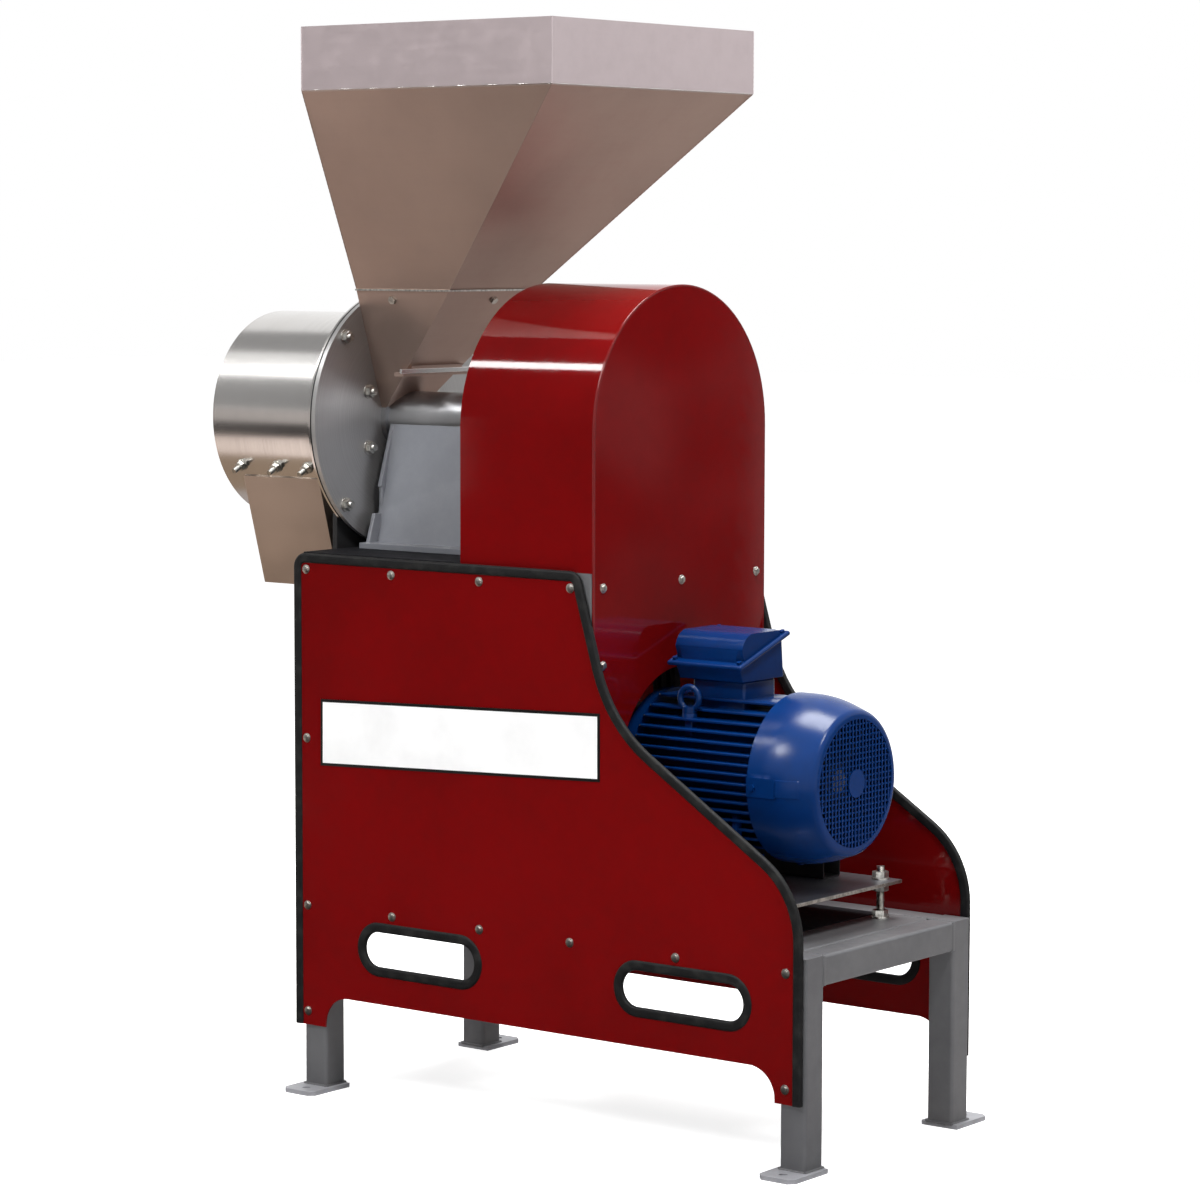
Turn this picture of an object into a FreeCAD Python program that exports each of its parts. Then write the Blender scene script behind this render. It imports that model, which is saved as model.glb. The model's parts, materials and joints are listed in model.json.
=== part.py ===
import FreeCAD, Part
import math
import os

import Sketcher
from FreeCAD import Placement, Rotation, Vector

# Grain mill on a welded stand, belt driven by an electric motor. Millimetres.
# +X runs from the mill end to the motor end, +Z is up, and the origin is on the
# floor at the middle of the four foot bolts.

doc = FreeCAD.newDocument("grain_mill")
sheet = doc.addObject("Spreadsheet::Sheet", "Sizes")


class Dim:
    # a length together with the sheet expression that gives it

    def __init__(self, value, text):
        self.value = value
        self.text = text

    def __add__(self, other):
        return Dim(self.value + num(other), f"({self.text} + {txt(other)})")

    def __radd__(self, other):
        return Dim(num(other) + self.value, f"({txt(other)} + {self.text})")

    def __sub__(self, other):
        return Dim(self.value - num(other), f"({self.text} - {txt(other)})")

    def __rsub__(self, other):
        return Dim(num(other) - self.value, f"({txt(other)} - {self.text})")

    def __mul__(self, other):
        return Dim(self.value * num(other), f"({self.text} * {txt(other)})")

    __rmul__ = __mul__

    def __truediv__(self, other):
        return Dim(self.value / num(other), f"({self.text} / {txt(other)})")

    def __neg__(self):
        return Dim(-self.value, f"(-{self.text})")


def num(length):
    return length.value if isinstance(length, Dim) else float(length)


def txt(length):
    return length.text if isinstance(length, Dim) else repr(float(length))


def root(length):
    return Dim(math.sqrt(length.value), f"sqrt({length.text})")


driving = {
    # frame of square tube
    "frame_length": 1060,
    "frame_width": 480,
    "tube": 50,
    "tube_wall": 3,
    "tube_corner": 6,
    "deck_top": 350,
    "bench_top": 935,
    "upright_x": 78,
    "pedestal_rail_x": -75,
    "end_rail": 100,
    "deck_plate": 4,
    # foot plates
    "foot_thick": 8,
    "foot_length": 70,
    "foot_width": 100,
    "foot_chamfer": 10,
    "foot_hole": 14,
    "foot_hole_out": 24,
    # side panels and their edging
    "panel_gap": 4,
    "panel_thick": 3,
    "panel_over": 10,
    "panel_short": 7,
    "panel_corner": 22,
    "tab_bottom": 115,
    "skirt": 170,
    "skirt_radius": 50,
    "tab_width": 55,
    "shoulder_x": 77,
    "waist_x": 147,
    "waist_z": 697,
    "waist_radius": 240,
    "hip_z": 456,
    "hip_radius": 152,
    "trim_web": 3,
    "trim_leg": 14,
    "slot_length": 248,
    "slot_height": 66,
    "slot_mill_x": -262,
    "slot_motor_x": 292,
    "slot_z": 265,
    # panel screws
    "screw_edge": 15,
    "screw_last": 35,
    "screw_pitch": 192.5,
    "screw_low": 139,
    "screw_dia": 6,
    "screw_head": 11,
    "screw_head_high": 4,
    "hole_gap": 0.3,
    # mill spindle
    "shaft_z": 1162,
    "shaft_dia": 40,
    "spindle_dia": 96,
    "spindle_bore": 70,
    "bearing_dia": 80,
    "bearing_width": 18,
    "spindle_end": -52,
    "spindle_flange": 108,
    "spindle_flange_thick": 11,
    "cap_thick": 8,
    "run_gap": 0.05,
    "seat_gap": 0.02,
    "air_gap": 0.3,
    # bearing pedestal
    "pedestal_gap": 17,
    "pedestal_end": -62,
    "pedestal_foot": 228,
    "cheek_foot": 184,
    "notch_z": 1022,
    "notch_high": 46,
    "notch_deep": 12,
    "pedestal_drop": 8,
    "pedestal_plate": 8,
    "pedestal_base": 10,
    "pedestal_base_wide": 250,
    # grinding chamber
    "back_face": -512,
    "back_dia": 452,
    "back_thick": 10,
    "drum_dia": 370,
    "drum_wall": 4,
    "drum_flange": 6,
    "drum_end": -791,
    "cover_thick": 6,
    "hub_hole": 64,
    "back_bolts": 412,
    "wear_bolts": 196,
    "bolt_dia": 12,
    "bolt_hex": 19,
    "bolt_head": 8,
    "bolt_tail": 7,
    "wear_dia": 300,
    "wear_thick": 6,
    "sieve_dia": 346,
    "sieve_wall": 2,
    "feed_low": 60,
    "feed_high": 80,
    "feed_low_half": 50,
    "feed_high_half": 58,
    # discharge chute
    "chute_mill_x": -745,
    "chute_motor_x": -567,
    "chute_wall": 3,
    "chute_top_half": 156,
    "chute_top_z": 1058,
    "chute_low_half": 102,
    "chute_bottom": 865,
    "stud_dia": 10,
    "stud_long": 34,
    "stud_angle": 27,
    "stud_inset": 18,
    "bracket_thick": 10,
    "bracket_half": 150,
    "bracket_top": 1000,
    # hopper, spout and gate
    "rim_mill_x": -492,
    "rim_motor_x": 49,
    "rim_half": 279,
    "rim_low": 1726,
    "rim_top": 1833,
    "seam_mill_x": -512,
    "seam_motor_x": -300,
    "seam_half": 117.5,
    "seam_z": 1390,
    "hopper_wall": 2,
    "sleeve": 30,
    "spout_low_half": 47,
    "spout_low_z": 1172,
    "gate_z": 1248,
    "gate_thick": 3,
    "gate_play": 0.6,
    "lip_high": 8,
    "lip_thick": 5,
    "lip_half": 101,
    "guide_half": 91,
    "guide_deep": 10,
    "guide_high": 7,
    "hopper_bolt": 8,
    "hopper_bolt_drop": 18,
    "hopper_bolt_back": 27,
    "hopper_bolt_over": 21,
    # belt guard
    "guard_mill_x": -176,
    "guard_wall": 2.5,
    "guard_bottom": 440,
    "motor_window": 168,
    "guard_screw_z": 783,
    # motor
    "motor_z": 597,
    "motor_end": 460,
    "motor_shoulder": 50,
    "motor_shaft_dia": 38,
    "motor_shaft_out": 80,
    "motor_height": 132,
    "motor_core_dia": 222,
    "motor_fin_dia": 272,
    "fin_pitch": 15.5,
    "fin_thick": 4,
    "fin_round": 11,
    "fin_rows": 8,
    "foot_web": 14,
    "frame_start": 96,
    "frame_stop": 340,
    "shield_gap": 9,
    "shield_nose": 120,
    "shield_nose_rise": 10,
    "shield_recess": 4,
    "shield_cone": 18,
    "shield_rim": 4,
    "shield_web": 2,
    "rear_rim": 8,
    "motor_bearing_dia": 80,
    "motor_bearing_width": 18,
    "foot_span": 216,
    "foot_reach": 178,
    "foot_setback": 89,
    "motor_foot_wide": 46,
    "motor_foot_long": 46,
    "motor_foot_thick": 16,
    "motor_bolt": 12,
    # fan and fan cover
    "cowl_start": 341,
    "cowl_dia": 280,
    "cowl_wall": 2,
    "cowl_shoulder": 397,
    "cowl_bend": 190,
    "cowl_lip": 13,
    "cowl_round": 13,
    "cowl_screw_in": 11,
    "cowl_flat": 32,
    "cowl_flat_long": 54,
    "cowl_flat_high": 1.5,
    "grille_dia": 210,
    "grille_pitch": 9.6,
    "grille_bar": 2.8,
    "grille_deep": 1.5,
    "grille_hub": 46,
    "fan_dia": 210,
    "fan_hub": 60,
    "fan_start": 372,
    "fan_long": 50,
    "blade_thick": 4,
    # terminal box and lifting eye
    "box_start": 147,
    "box_long": 129,
    "box_rise": 156,
    "box_near": 60,
    "box_far": 56,
    "box_wall": 4,
    "neck_start": 162,
    "neck_long": 106,
    "neck_half": 44,
    "lid_start": 139,
    "lid_long": 146,
    "lid_near": 80,
    "lid_near_rise": 179,
    "lid_far": 58,
    "lid_far_rise": 227,
    "lid_top_rise": 236,
    "lid_thick": 6,
    "lid_margin": 16,
    "lid_inset": 5,
    "lid_bend": 32,
    "lid_pocket": 11,
    "lid_screw": 8,
    "eye_x": 187,
    "eye_y": -86,
    "eye_rise": 127,
    "eye_ring": 28,
    "eye_wire": 10,
    "eye_boss": 25,
    "eye_fin": 6,
    "eye_rib": 16,
    # motor plate and tension studs
    "plate_thick": 6,
    "plate_half": 170,
    "plate_stop": 440,
    "plate_start": 50,
    "tension_x": 410,
    "tension_half": 150,
    "tension_dia": 14,
    "tension_over": 32,
    "tension_hex": 22,
    "tension_nut": 11,
    "tension_washer": 28,
    "tension_washer_thick": 3,
    "tension_play": 0.5,
    # drive
    "mill_pulley_dia": 125,
    "motor_pulley_dia": 200,
    "belt_x": 8,
    "belt_pitch": 19,
    "belt_count": 3,
    "belt_wide": 16,
    "belt_narrow": 10,
    "belt_high": 10,
    "belt_proud": 1.5,
    "pulley_rim": 12.5,
    "pulley_gap": 0.4,
    # beater rotor
    "rotor_dia": 320,
    "rotor_x": -560,
    "rotor_thick": 12,
    "rotor_hub_dia": 90,
    "rotor_hub_long": 44,
    "beater_long": 190,
    "beater_deep": 40,
    "beater_thick": 12,
    "beater_count": 6,
    "rotor_nut": 60,
    "rotor_nut_thick": 20,
}


class Sizes:
    pass


s = Sizes()
for row, (name, value) in enumerate(driving.items(), 1):
    sheet.set(f"A{row}", name)
    sheet.set(f"B{row}", str(value))
    sheet.setAlias(f"B{row}", name)
    setattr(s, name, Dim(float(value), f"Sizes.{name}"))
doc.recompute()

turn = {
    "X": Rotation(Vector(0, 1, 0), 90),
    "Y": Rotation(Vector(1, 0, 0), -90),
    "Z": Rotation(),
}
nodes = {}


def node(name, item):
    item.Label = name
    nodes[name] = item
    return item


def bind(item, **dims):
    for prop, dim in dims.items():
        item.setExpression(prop, txt(dim))


def place(item, x=0, y=0, z=0):
    for axis, dim in zip("xyz", (x, y, z)):
        item.setExpression(f"Placement.Base.{axis}", txt(dim))


def block(name, x, y, z):
    # a box from pairs of low and high coordinates
    item = doc.addObject("Part::Box", name)
    bind(item, Length=x[1] - x[0], Width=y[1] - y[0], Height=z[1] - z[0])
    place(item, x[0], y[0], z[0])
    return item


def rod(name, axis, start, radius, length):
    item = doc.addObject("Part::Cylinder", name)
    item.Placement = Placement(Vector(), turn[axis])
    bind(item, Radius=radius, Height=length)
    place(item, *start)
    return item


def hexagon(name, axis, start, across, length):
    item = doc.addObject("Part::Prism", name)
    item.Polygon = 6
    item.Placement = Placement(Vector(), turn[axis])
    bind(item, Circumradius=across / math.sqrt(3), Height=length)
    place(item, *start)
    return item


def group(name, items):
    item = doc.addObject("Part::Compound", name)
    item.Links = items
    return item


def fuse(name, items):
    item = doc.addObject("Part::MultiFuse", name)
    item.Shapes = items
    item.Refine = True
    return item


def common(name, items):
    item = doc.addObject("Part::MultiCommon", name)
    item.Shapes = items
    return item


def cut(name, base, tools):
    item = doc.addObject("Part::Cut", name)
    item.Base = base
    item.Tool = tools[0] if len(tools) == 1 else group(name + "_tools", tools)
    return item


def mirror(name, source):
    item = doc.addObject("Part::Mirroring", name)
    item.Source = source
    item.Normal = Vector(0, 1, 0)
    return item


def new_body(name):
    return doc.addObject("PartDesign::Body", name)


def sketch(body, plane, offset=0):
    item = body.newObject("Sketcher::SketchObject", body.Name + "_sketch")
    support = [f for f in body.Origin.OriginFeatures if f.Role == plane]
    item.AttachmentSupport = (support[0], [""])
    item.MapMode = "FlatFace"
    item.setExpression("AttachmentOffset.Base.z", txt(offset))
    return item


class Rules:
    # constraints of one sketch, added together with the expressions that drive them

    def __init__(self, item):
        self.item = item
        self.rules = []
        self.driven = {}

    def add(self, kind, *where):
        self.rules.append(Sketcher.Constraint(kind, *where))

    def size(self, kind, *where):
        *spot, dim = where
        if isinstance(dim, Dim):
            self.driven[len(self.rules)] = dim.text
        self.add(kind, *spot, num(dim))

    def fix(self, geometry, position, x, y):
        self.size("DistanceX", -1, 1, geometry, position, x)
        self.size("DistanceY", -1, 1, geometry, position, y)

    def settle(self):
        first = self.item.ConstraintCount
        self.item.addConstraint(self.rules)
        for number, text in self.driven.items():
            self.item.setExpression(f"Constraints[{first + number}]", text)


def outline(item, corners):
    # a closed loop of straight edges through corners (x, y) or (x, y, radius)
    count = len(corners)
    rules = Rules(item)
    points = [Vector(num(c[0]), num(c[1]), 0) for c in corners]
    starts, ends, arcs = list(points), list(points), {}
    for i, corner in enumerate(corners):
        if len(corner) == 3:
            here, radius = points[i], num(corner[2])
            back = (points[i - 1] - here).normalize()
            ahead = (points[(i + 1) % count] - here).normalize()
            half = back.getAngle(ahead) / 2
            middle = (back + ahead).normalize()
            ends[i] = here + back * (radius / math.tan(half))
            starts[i] = here + ahead * (radius / math.tan(half))
            arcs[i] = Part.Arc(ends[i], here + middle * (radius / math.sin(half) - radius), starts[i])
    sides = []
    for i in range(count):
        sides.append(item.addGeometry(Part.LineSegment(starts[i], ends[(i + 1) % count])))
    for i, corner in enumerate(corners):
        before, after = sides[i - 1], sides[i]
        if i not in arcs:
            rules.add("Coincident", before, 2, after, 1)
            rules.fix(after, 1, corner[0], corner[1])
            continue
        arc = item.addGeometry(arcs[i])
        lead, leave = (1, 2) if item.getPoint(arc, 1).distanceToPoint(ends[i]) < 1e-4 else (2, 1)
        mark = item.addGeometry(Part.Point(points[i]), True)
        rules.add("Tangent", before, 2, arc, lead)
        rules.add("Tangent", arc, leave, after, 1)
        rules.size("Radius", arc, corner[2])
        rules.add("PointOnObject", mark, 1, before)
        rules.add("PointOnObject", mark, 1, after)
        rules.fix(mark, 1, corner[0], corner[1])
    rules.settle()


def ring(item, x, y, radius):
    rules = Rules(item)
    circle = Part.Circle(Vector(num(x), num(y), 0), Vector(0, 0, 1), num(radius))
    geometry = item.addGeometry(circle)
    rules.fix(geometry, 3, x, y)
    rules.size("Radius", geometry, radius)
    rules.settle()


def stadium(item, x, y, length, height):
    # a level slot with round ends
    rules = Rules(item)
    radius, reach = num(height) / 2, num(length - height) / 2
    middle = Vector(num(x), num(y), 0)
    ends = []
    for side in (1, -1):
        centre = middle + Vector(reach * side, 0, 0)
        low, high = centre - Vector(0, radius * side, 0), centre + Vector(0, radius * side, 0)
        ends.append(item.addGeometry(Part.Arc(low, centre + Vector(radius * side, 0, 0), high)))
        rules.fix(ends[-1], 3, x + (length - height) / 2 * side, y)
        rules.size("Radius", ends[-1], height / 2)
    for first, second in (ends, ends[::-1]):
        line = item.addGeometry(Part.LineSegment(item.getPoint(first, 2), item.getPoint(second, 1)))
        rules.add("Tangent", first, 2, line, 1)
        rules.add("Tangent", line, 2, second, 1)
    rules.settle()


def rectangle(x, y, radius=None):
    # corners of an upright rectangle from pairs of low and high coordinates
    ends = [(x[0], y[0]), (x[1], y[0]), (x[1], y[1]), (x[0], y[1])]
    return ends if radius is None else [(*end, radius) for end in ends]


def feature(body, kind, profile, **dims):
    item = body.newObject("PartDesign::" + kind, body.Name + "_" + kind)
    item.Profile = profile
    bind(item, **dims)
    body.Tip = item
    return item


def padded(name, plane, offset, length, loops, rings=(), stadiums=()):
    # a sheet or bar cut to an outline
    body = new_body(name)
    profile = sketch(body, plane, offset)
    for corners in loops:
        outline(profile, corners)
    for circle in rings:
        ring(profile, *circle)
    for slot in stadiums:
        stadium(profile, *slot)
    feature(body, "Pad", profile, Length=length)
    return body


def turned(name, corners, z=0, axis="H_Axis", x=0, y=0):
    # a solid of revolution about its own X axis (H_Axis) or Z axis (V_Axis)
    body = new_body(name)
    profile = sketch(body, "XZ_Plane")
    outline(profile, corners)
    spin = feature(body, "Revolution", profile)
    spin.ReferenceAxis = (profile, [axis])
    spin.Angle = 360
    place(body, x, y, z)
    return body


def polar(body, source, count, axis):
    pattern = body.newObject("PartDesign::PolarPattern", body.Name + "_pattern")
    pattern.Originals = [source]
    origin = [f for f in body.Origin.OriginFeatures if f.Role == axis]
    pattern.Axis = (origin[0], [""])
    pattern.Angle = 360
    bind(pattern, Occurrences=count)
    body.Tip = pattern
    return pattern


def tube(name, axis, u, v, run, wide=None):
    # square tube along an axis, with (u, v) the middle of its section
    wide = s.tube if wide is None else wide
    plane, offset = {
        "X": ("YZ_Plane", run[0]),
        "Y": ("XZ_Plane", -run[1]),
        "Z": ("XY_Plane", run[0]),
    }[axis]
    loops = []
    for inset in (0, s.tube_wall):
        half_u, half_v = wide / 2 - inset, s.tube / 2 - inset
        loops.append(rectangle((u - half_u, u + half_u), (v - half_v, v + half_v), s.tube_corner - inset))
    return padded(name, plane, offset, run[1] - run[0], loops)


def scatter(name, pairs):
    # copies of small shapes, each at its own placement
    copies = []
    for shape, spot in pairs:
        copy = shape.copy()
        copy.Placement = spot.multiply(copy.Placement)
        copies.append(copy)
    item = doc.addObject("Part::Feature", name)
    item.Shape = Part.makeCompound(copies)
    return node(name, item)


def hex_solid(across, length, start=0.0):
    corners = [
        Vector(across / math.sqrt(3) * math.cos(k * math.pi / 3), across / math.sqrt(3) * math.sin(k * math.pi / 3), start)
        for k in range(7)
    ]
    return Part.Face(Part.makePolygon(corners)).extrude(Vector(0, 0, length))


def bolt_solid(across, head, radius, length, nut=0.0, tail=0.0):
    # head above the origin, shank below it, and a nut near the end of the shank
    solid = hex_solid(across, head).fuse(Part.makeCylinder(radius, length, Vector(0, 0, -length)))
    if nut:
        solid = solid.fuse(hex_solid(across, nut, -length + tail))
    return solid.removeSplitter()


half_length = s.frame_length / 2
half_width = s.frame_width / 2
leg_x = half_length - s.tube / 2
leg_y = half_width - s.tube / 2
inner_x = half_length - s.tube
inner_y = half_width - s.tube
deck_z = s.deck_top - s.tube / 2
bench_z = s.bench_top - s.tube / 2
upright = (s.upright_x - s.tube / 2, s.upright_x + s.tube / 2)
sides = (-1, 1)

# Panel screws: rows along the rails and singles on the legs

screw_start = s.screw_edge - half_length
screw_end = half_length - s.screw_last
screw_row = [screw_start + s.screw_pitch * k for k in range(4)]
screw_spots = [(x, bench_z) for x in screw_row]
screw_spots += [(x, deck_z) for x in screw_row]
screw_spots += [((screw_row[3] + screw_end) / 2, deck_z), (screw_end, deck_z)]
screw_spots += [(screw_start, (bench_z + deck_z) / 2), (screw_start, s.screw_low), (screw_end, s.screw_low)]
screw_hole = s.screw_dia / 2 + s.hole_gap
panel_in = half_width + s.panel_gap
panel_out = panel_in + s.panel_thick
screw_tip = half_width - s.tube_wall

panel_drills = [
    rod("panel_drill", "Y", (x, y, z), screw_hole, panel_out - screw_tip + 1)
    for x, z in screw_spots
    for y in (-panel_out, screw_tip - 1)
]
panel_drill = group("panel_drills", panel_drills)


# Frame

def drilled(name, tubes):
    return node(name, cut(name, group(name + "_tubes", tubes), [panel_drill]))


drilled("mill_end_legs", [
    tube("mill_leg", "Z", -leg_x, leg_y * side, (s.foot_thick, s.bench_top)) for side in sides
])
drilled("motor_end_legs", [
    tube("motor_leg", "Z", leg_x, leg_y * side, (s.foot_thick, s.deck_top)) for side in sides
])
drilled("deck_side_rails", [
    tube("deck_rail", "X", leg_y * side, deck_z, (-inner_x, inner_x)) for side in sides
])
drilled("top_side_rails", [
    tube("top_rail", "X", leg_y * side, bench_z, (-inner_x, upright[0])) for side in sides
])
across = (-inner_y, inner_y)
node("deck_cross_rails", group("deck_cross", [
    tube("deck_cross_rail", "Y", x, deck_z, across) for x in (-leg_x, s.upright_x)
]))
end_x = inner_x - s.end_rail / 2
end_rails = [
    tube("end_rail", "Y", leg_x, deck_z, across),
    tube("wide_end_rail", "Y", end_x, deck_z, across, s.end_rail),
]
node("motor_end_cross_rails", group("motor_end_cross", end_rails))
guard_face = upright[1]
guard_plate = (guard_face, guard_face + s.guard_wall)
guard_spots = [(-leg_y, bench_z), (0, bench_z), (leg_y, bench_z)]
guard_spots += [(-leg_y, s.guard_screw_z), (leg_y, s.guard_screw_z)]
guard_spots += [(-leg_y, s.motor_z), (leg_y, s.motor_z)]
guard_drill = group("guard_drills", [
    rod("guard_drill", "X", (guard_face - s.tube_wall - 1, y, z), screw_hole, s.tube_wall + s.guard_wall + 2)
    for y, z in guard_spots
])
uprights = [tube("upright", "Z", s.upright_x, leg_y * side, (s.deck_top, s.bench_top)) for side in sides]
uprights = cut("uprights_face_drilled", group("upright_pair", uprights), [guard_drill])
node("mid_uprights", cut("mid_uprights", uprights, [panel_drill]))
top_cross = [
    tube("top_cross_rail", "Y", x, bench_z, across) for x in (-leg_x, s.pedestal_rail_x, s.upright_x)
]
node("top_cross_rails", cut("top_cross_rails", group("top_cross", top_cross), [guard_drill]))

foot_low = -s.foot_length / 2
foot_high = s.foot_length / 2
foot_outer = inner_y + s.foot_width
foot_hole_y = half_width + s.foot_hole_out


def foot_plate(end, side):
    # outer corners are clipped; the bolt hole is outside the leg
    x = leg_x * end
    loop = [
        (x + foot_low, inner_y * side),
        (x + foot_high, inner_y * side),
        (x + foot_high, (foot_outer - s.foot_chamfer) * side),
        (x + foot_high - s.foot_chamfer, foot_outer * side),
        (x + foot_low + s.foot_chamfer, foot_outer * side),
        (x + foot_low, (foot_outer - s.foot_chamfer) * side),
    ]
    hole = (x, foot_hole_y * side, s.foot_hole / 2)
    return padded("foot_plate", "XY_Plane", 0, s.foot_thick, [loop], [hole])


node("foot_plates", group("foot_plate_set", [foot_plate(end, side) for end in sides for side in sides]))

deck_stop = s.pedestal_rail_x + s.tube / 2
deck_high = s.bench_top + s.deck_plate
guard_gap = s.guard_wall + s.air_gap
deck_notch = block(
    "deck_notch", (-half_length - 1, s.back_face + s.deck_plate), (-s.back_dia / 6, s.back_dia / 6),
    (s.bench_top - 1, deck_high + 1))
node("mill_deck", cut("mill_deck", block(
    "deck_blank", (-half_length, deck_stop), (-half_width + guard_gap, half_width - guard_gap),
    (s.bench_top, deck_high)), [deck_notch]))

# Side panels with swept front edge, tabs over the legs and two slots

panel_mill = -half_length - s.panel_over
panel_motor = half_length - s.panel_short
hip = (panel_motor, s.hip_z, s.hip_radius)
shoulder = (s.shoulder_x, s.bench_top, s.panel_corner)
panel_loop = [
    (panel_mill, s.tab_bottom),
    (panel_mill + s.tab_width + s.panel_over, s.tab_bottom),
    (panel_mill + s.tab_width + s.panel_over, s.skirt, s.skirt_radius),
    (panel_motor - s.tab_width + s.panel_short, s.skirt, s.skirt_radius),
    (panel_motor - s.tab_width + s.panel_short, s.tab_bottom),
    (panel_motor, s.tab_bottom),
    hip,
    (s.waist_x, s.waist_z, s.waist_radius),
    shoulder,
    (panel_mill, s.bench_top, s.panel_corner),
]
slots = [(x, s.slot_z) for x in (s.slot_mill_x, s.slot_motor_x)]
slot_sizes = [(x, z, s.slot_length, s.slot_height) for x, z in slots]
panel_holes = [(x, z, screw_hole) for x, z in screw_spots]
panel = padded("panel_sheet", "XZ_Plane", panel_in, s.panel_thick, [panel_loop], panel_holes, slot_sizes)
node("side_panel_near", panel)
node("side_panel_far", mirror("panel_far", panel))

# Rubber edging: a channel that wraps the edge of the panel

trim_low = half_width
trim_high = panel_out + s.trim_web
trim_deep = trim_high - trim_low


def inset_edge(step):
    # corner points of the panel's left, top and front edges, moved in by step
    lean = (s.bench_top - s.waist_z) / (s.waist_x - s.shoulder_x)
    slide = step * (root(1 + lean * lean) + 1) / lean
    fall = (s.waist_z - s.hip_z) / (panel_motor - s.waist_x)
    drop = step * (root(1 + fall * fall) - fall)
    bend = waist_shift(step, lean, fall)
    return [
        (panel_mill + step, s.bench_top - step, s.panel_corner - step),
        (s.shoulder_x - step * root(1 + lean * lean) / lean + step / lean, s.bench_top - step, s.panel_corner - step),
        bend,
        (panel_motor - step, s.hip_z - drop, s.hip_radius - step),
    ], slide


def waist_shift(step, lean, fall):
    # the waist corner lies on both moved edges
    steep = s.waist_x - step * root(1 + lean * lean) / lean
    gentle = s.waist_z - step * root(1 + fall * fall)
    x = (lean * steep - fall * s.waist_x + s.waist_z - gentle) / (lean - fall)
    z = gentle - fall * (x - s.waist_x)
    return (x, z, s.waist_radius + step)


def edge_band(name, outer, inner, offset, length):
    # the strip between two copies of the edge, open at the tab bottoms
    low = s.tab_bottom
    outside, _ = inset_edge(outer)
    inside, _ = inset_edge(inner)
    loop = [(panel_mill + outer, low)] + outside + [(panel_motor - outer, low)]
    loop += [(panel_motor - inner, low)] + inside[::-1] + [(panel_mill + inner, low)]
    return padded(name, "XZ_Plane", offset, length, [loop])


trim = fuse("edge_trim", [
    edge_band("trim_outer_leg", -s.trim_web, s.trim_leg, panel_out, s.trim_web),
    edge_band("trim_web_strip", -s.trim_web, 0 * s.trim_web, panel_in, s.panel_thick),
    edge_band("trim_inner_leg", -s.trim_web, s.trim_leg, half_width, s.panel_gap),
])
trim_drilled = cut("trim_drilled", trim, [panel_drill])
node("edge_trim_near", trim_drilled)
node("edge_trim_far", mirror("edge_trim_mirror", trim_drilled))


def slot_band(name, inner, outer, offset, length):
    grown = [
        (x, z, s.slot_length + grow * 2, s.slot_height + grow * 2) for x, z in slots for grow in (inner, outer)
    ]
    return padded(name, "XZ_Plane", offset, length, [], (), grown)


slot_trim = fuse("slot_trim", [
    slot_band("slot_outer_leg", -s.trim_web, s.trim_leg, panel_out, s.trim_web),
    slot_band("slot_web", -s.trim_web, 0 * s.trim_web, panel_in, s.panel_thick),
    slot_band("slot_inner_leg", -s.trim_web, s.trim_leg, panel_in - s.trim_web, s.trim_web),
])
node("slot_trims", group("slot_trim_pair", [slot_trim, mirror("slot_trim_far", slot_trim)]))

# Screws reach through the panel, or the edging, into the rail wall

screw_shape = bolt_solid(
    num(s.screw_head), num(s.screw_head_high), num(s.screw_dia) / 2, num(panel_out - screw_tip))
near_turn = Rotation(Vector(1, 0, 0), 90)
far_turn = Rotation(Vector(1, 0, 0), -90)
screw_places = []
for x, z in screw_spots:
    screw_places.append(Placement(Vector(num(x), -num(panel_out), num(z)), near_turn))
    screw_places.append(Placement(Vector(num(x), num(panel_out), num(z)), far_turn))
scatter("panel_screws", [(screw_shape, spot) for spot in screw_places])

# Bearing pedestal: two sloping cheeks, an end plate at each end and a base plate

pedestal_start = s.back_face + s.pedestal_gap
base_top = deck_high + s.pedestal_base
cheek_top = s.shaft_z - s.pedestal_drop
cheek_half = root(s.spindle_dia * s.spindle_dia / 4 - s.pedestal_drop * s.pedestal_drop)


end_low = s.pedestal_foot / 2
cheek_low = s.cheek_foot / 2
end_loop = [(-end_low, base_top), (end_low, base_top), (cheek_half, cheek_top), (-cheek_half, cheek_top)]


def cheek_loop(side):
    return [
        (cheek_low * side, base_top),
        ((cheek_low - s.pedestal_plate) * side, base_top),
        ((cheek_half - s.pedestal_plate) * side, cheek_top),
        (cheek_half * side, cheek_top),
    ]


end_lean = (end_low - cheek_half) / (cheek_top - base_top)
notch_half = end_low - end_lean * (s.notch_z - base_top) - s.notch_deep
notches = group("end_notches", [
    block("end_notch", (pedestal_start - 1, pedestal_start + s.pedestal_plate + 1), y,
          (s.notch_z - s.notch_high / 2, s.notch_z + s.notch_high / 2))
    for y in ((-end_low, -notch_half), (notch_half, end_low))
])
pedestal_body = fuse("pedestal_weldment", [
    padded("cheeks", "YZ_Plane", pedestal_start, s.pedestal_end - pedestal_start,
           [cheek_loop(side) for side in sides]),
    cut("mill_end_plate", padded("mill_end_blank", "YZ_Plane", pedestal_start, s.pedestal_plate, [end_loop]), [notches]),
    padded("drive_end_plate", "YZ_Plane", s.pedestal_end - s.pedestal_plate, s.pedestal_plate, [end_loop]),
    block("pedestal_base_plate", (pedestal_start - 6, s.pedestal_end + 6),
          (-s.pedestal_base_wide / 2, s.pedestal_base_wide / 2), (deck_high, base_top)),
])
spindle_hole = rod(
    "spindle_hole", "X", (s.back_face, 0, s.shaft_z), s.spindle_dia / 2 + s.seat_gap, s.spindle_end - s.back_face)
node("bearing_pedestal", cut("bearing_pedestal", pedestal_body, [spindle_hole]))

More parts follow.
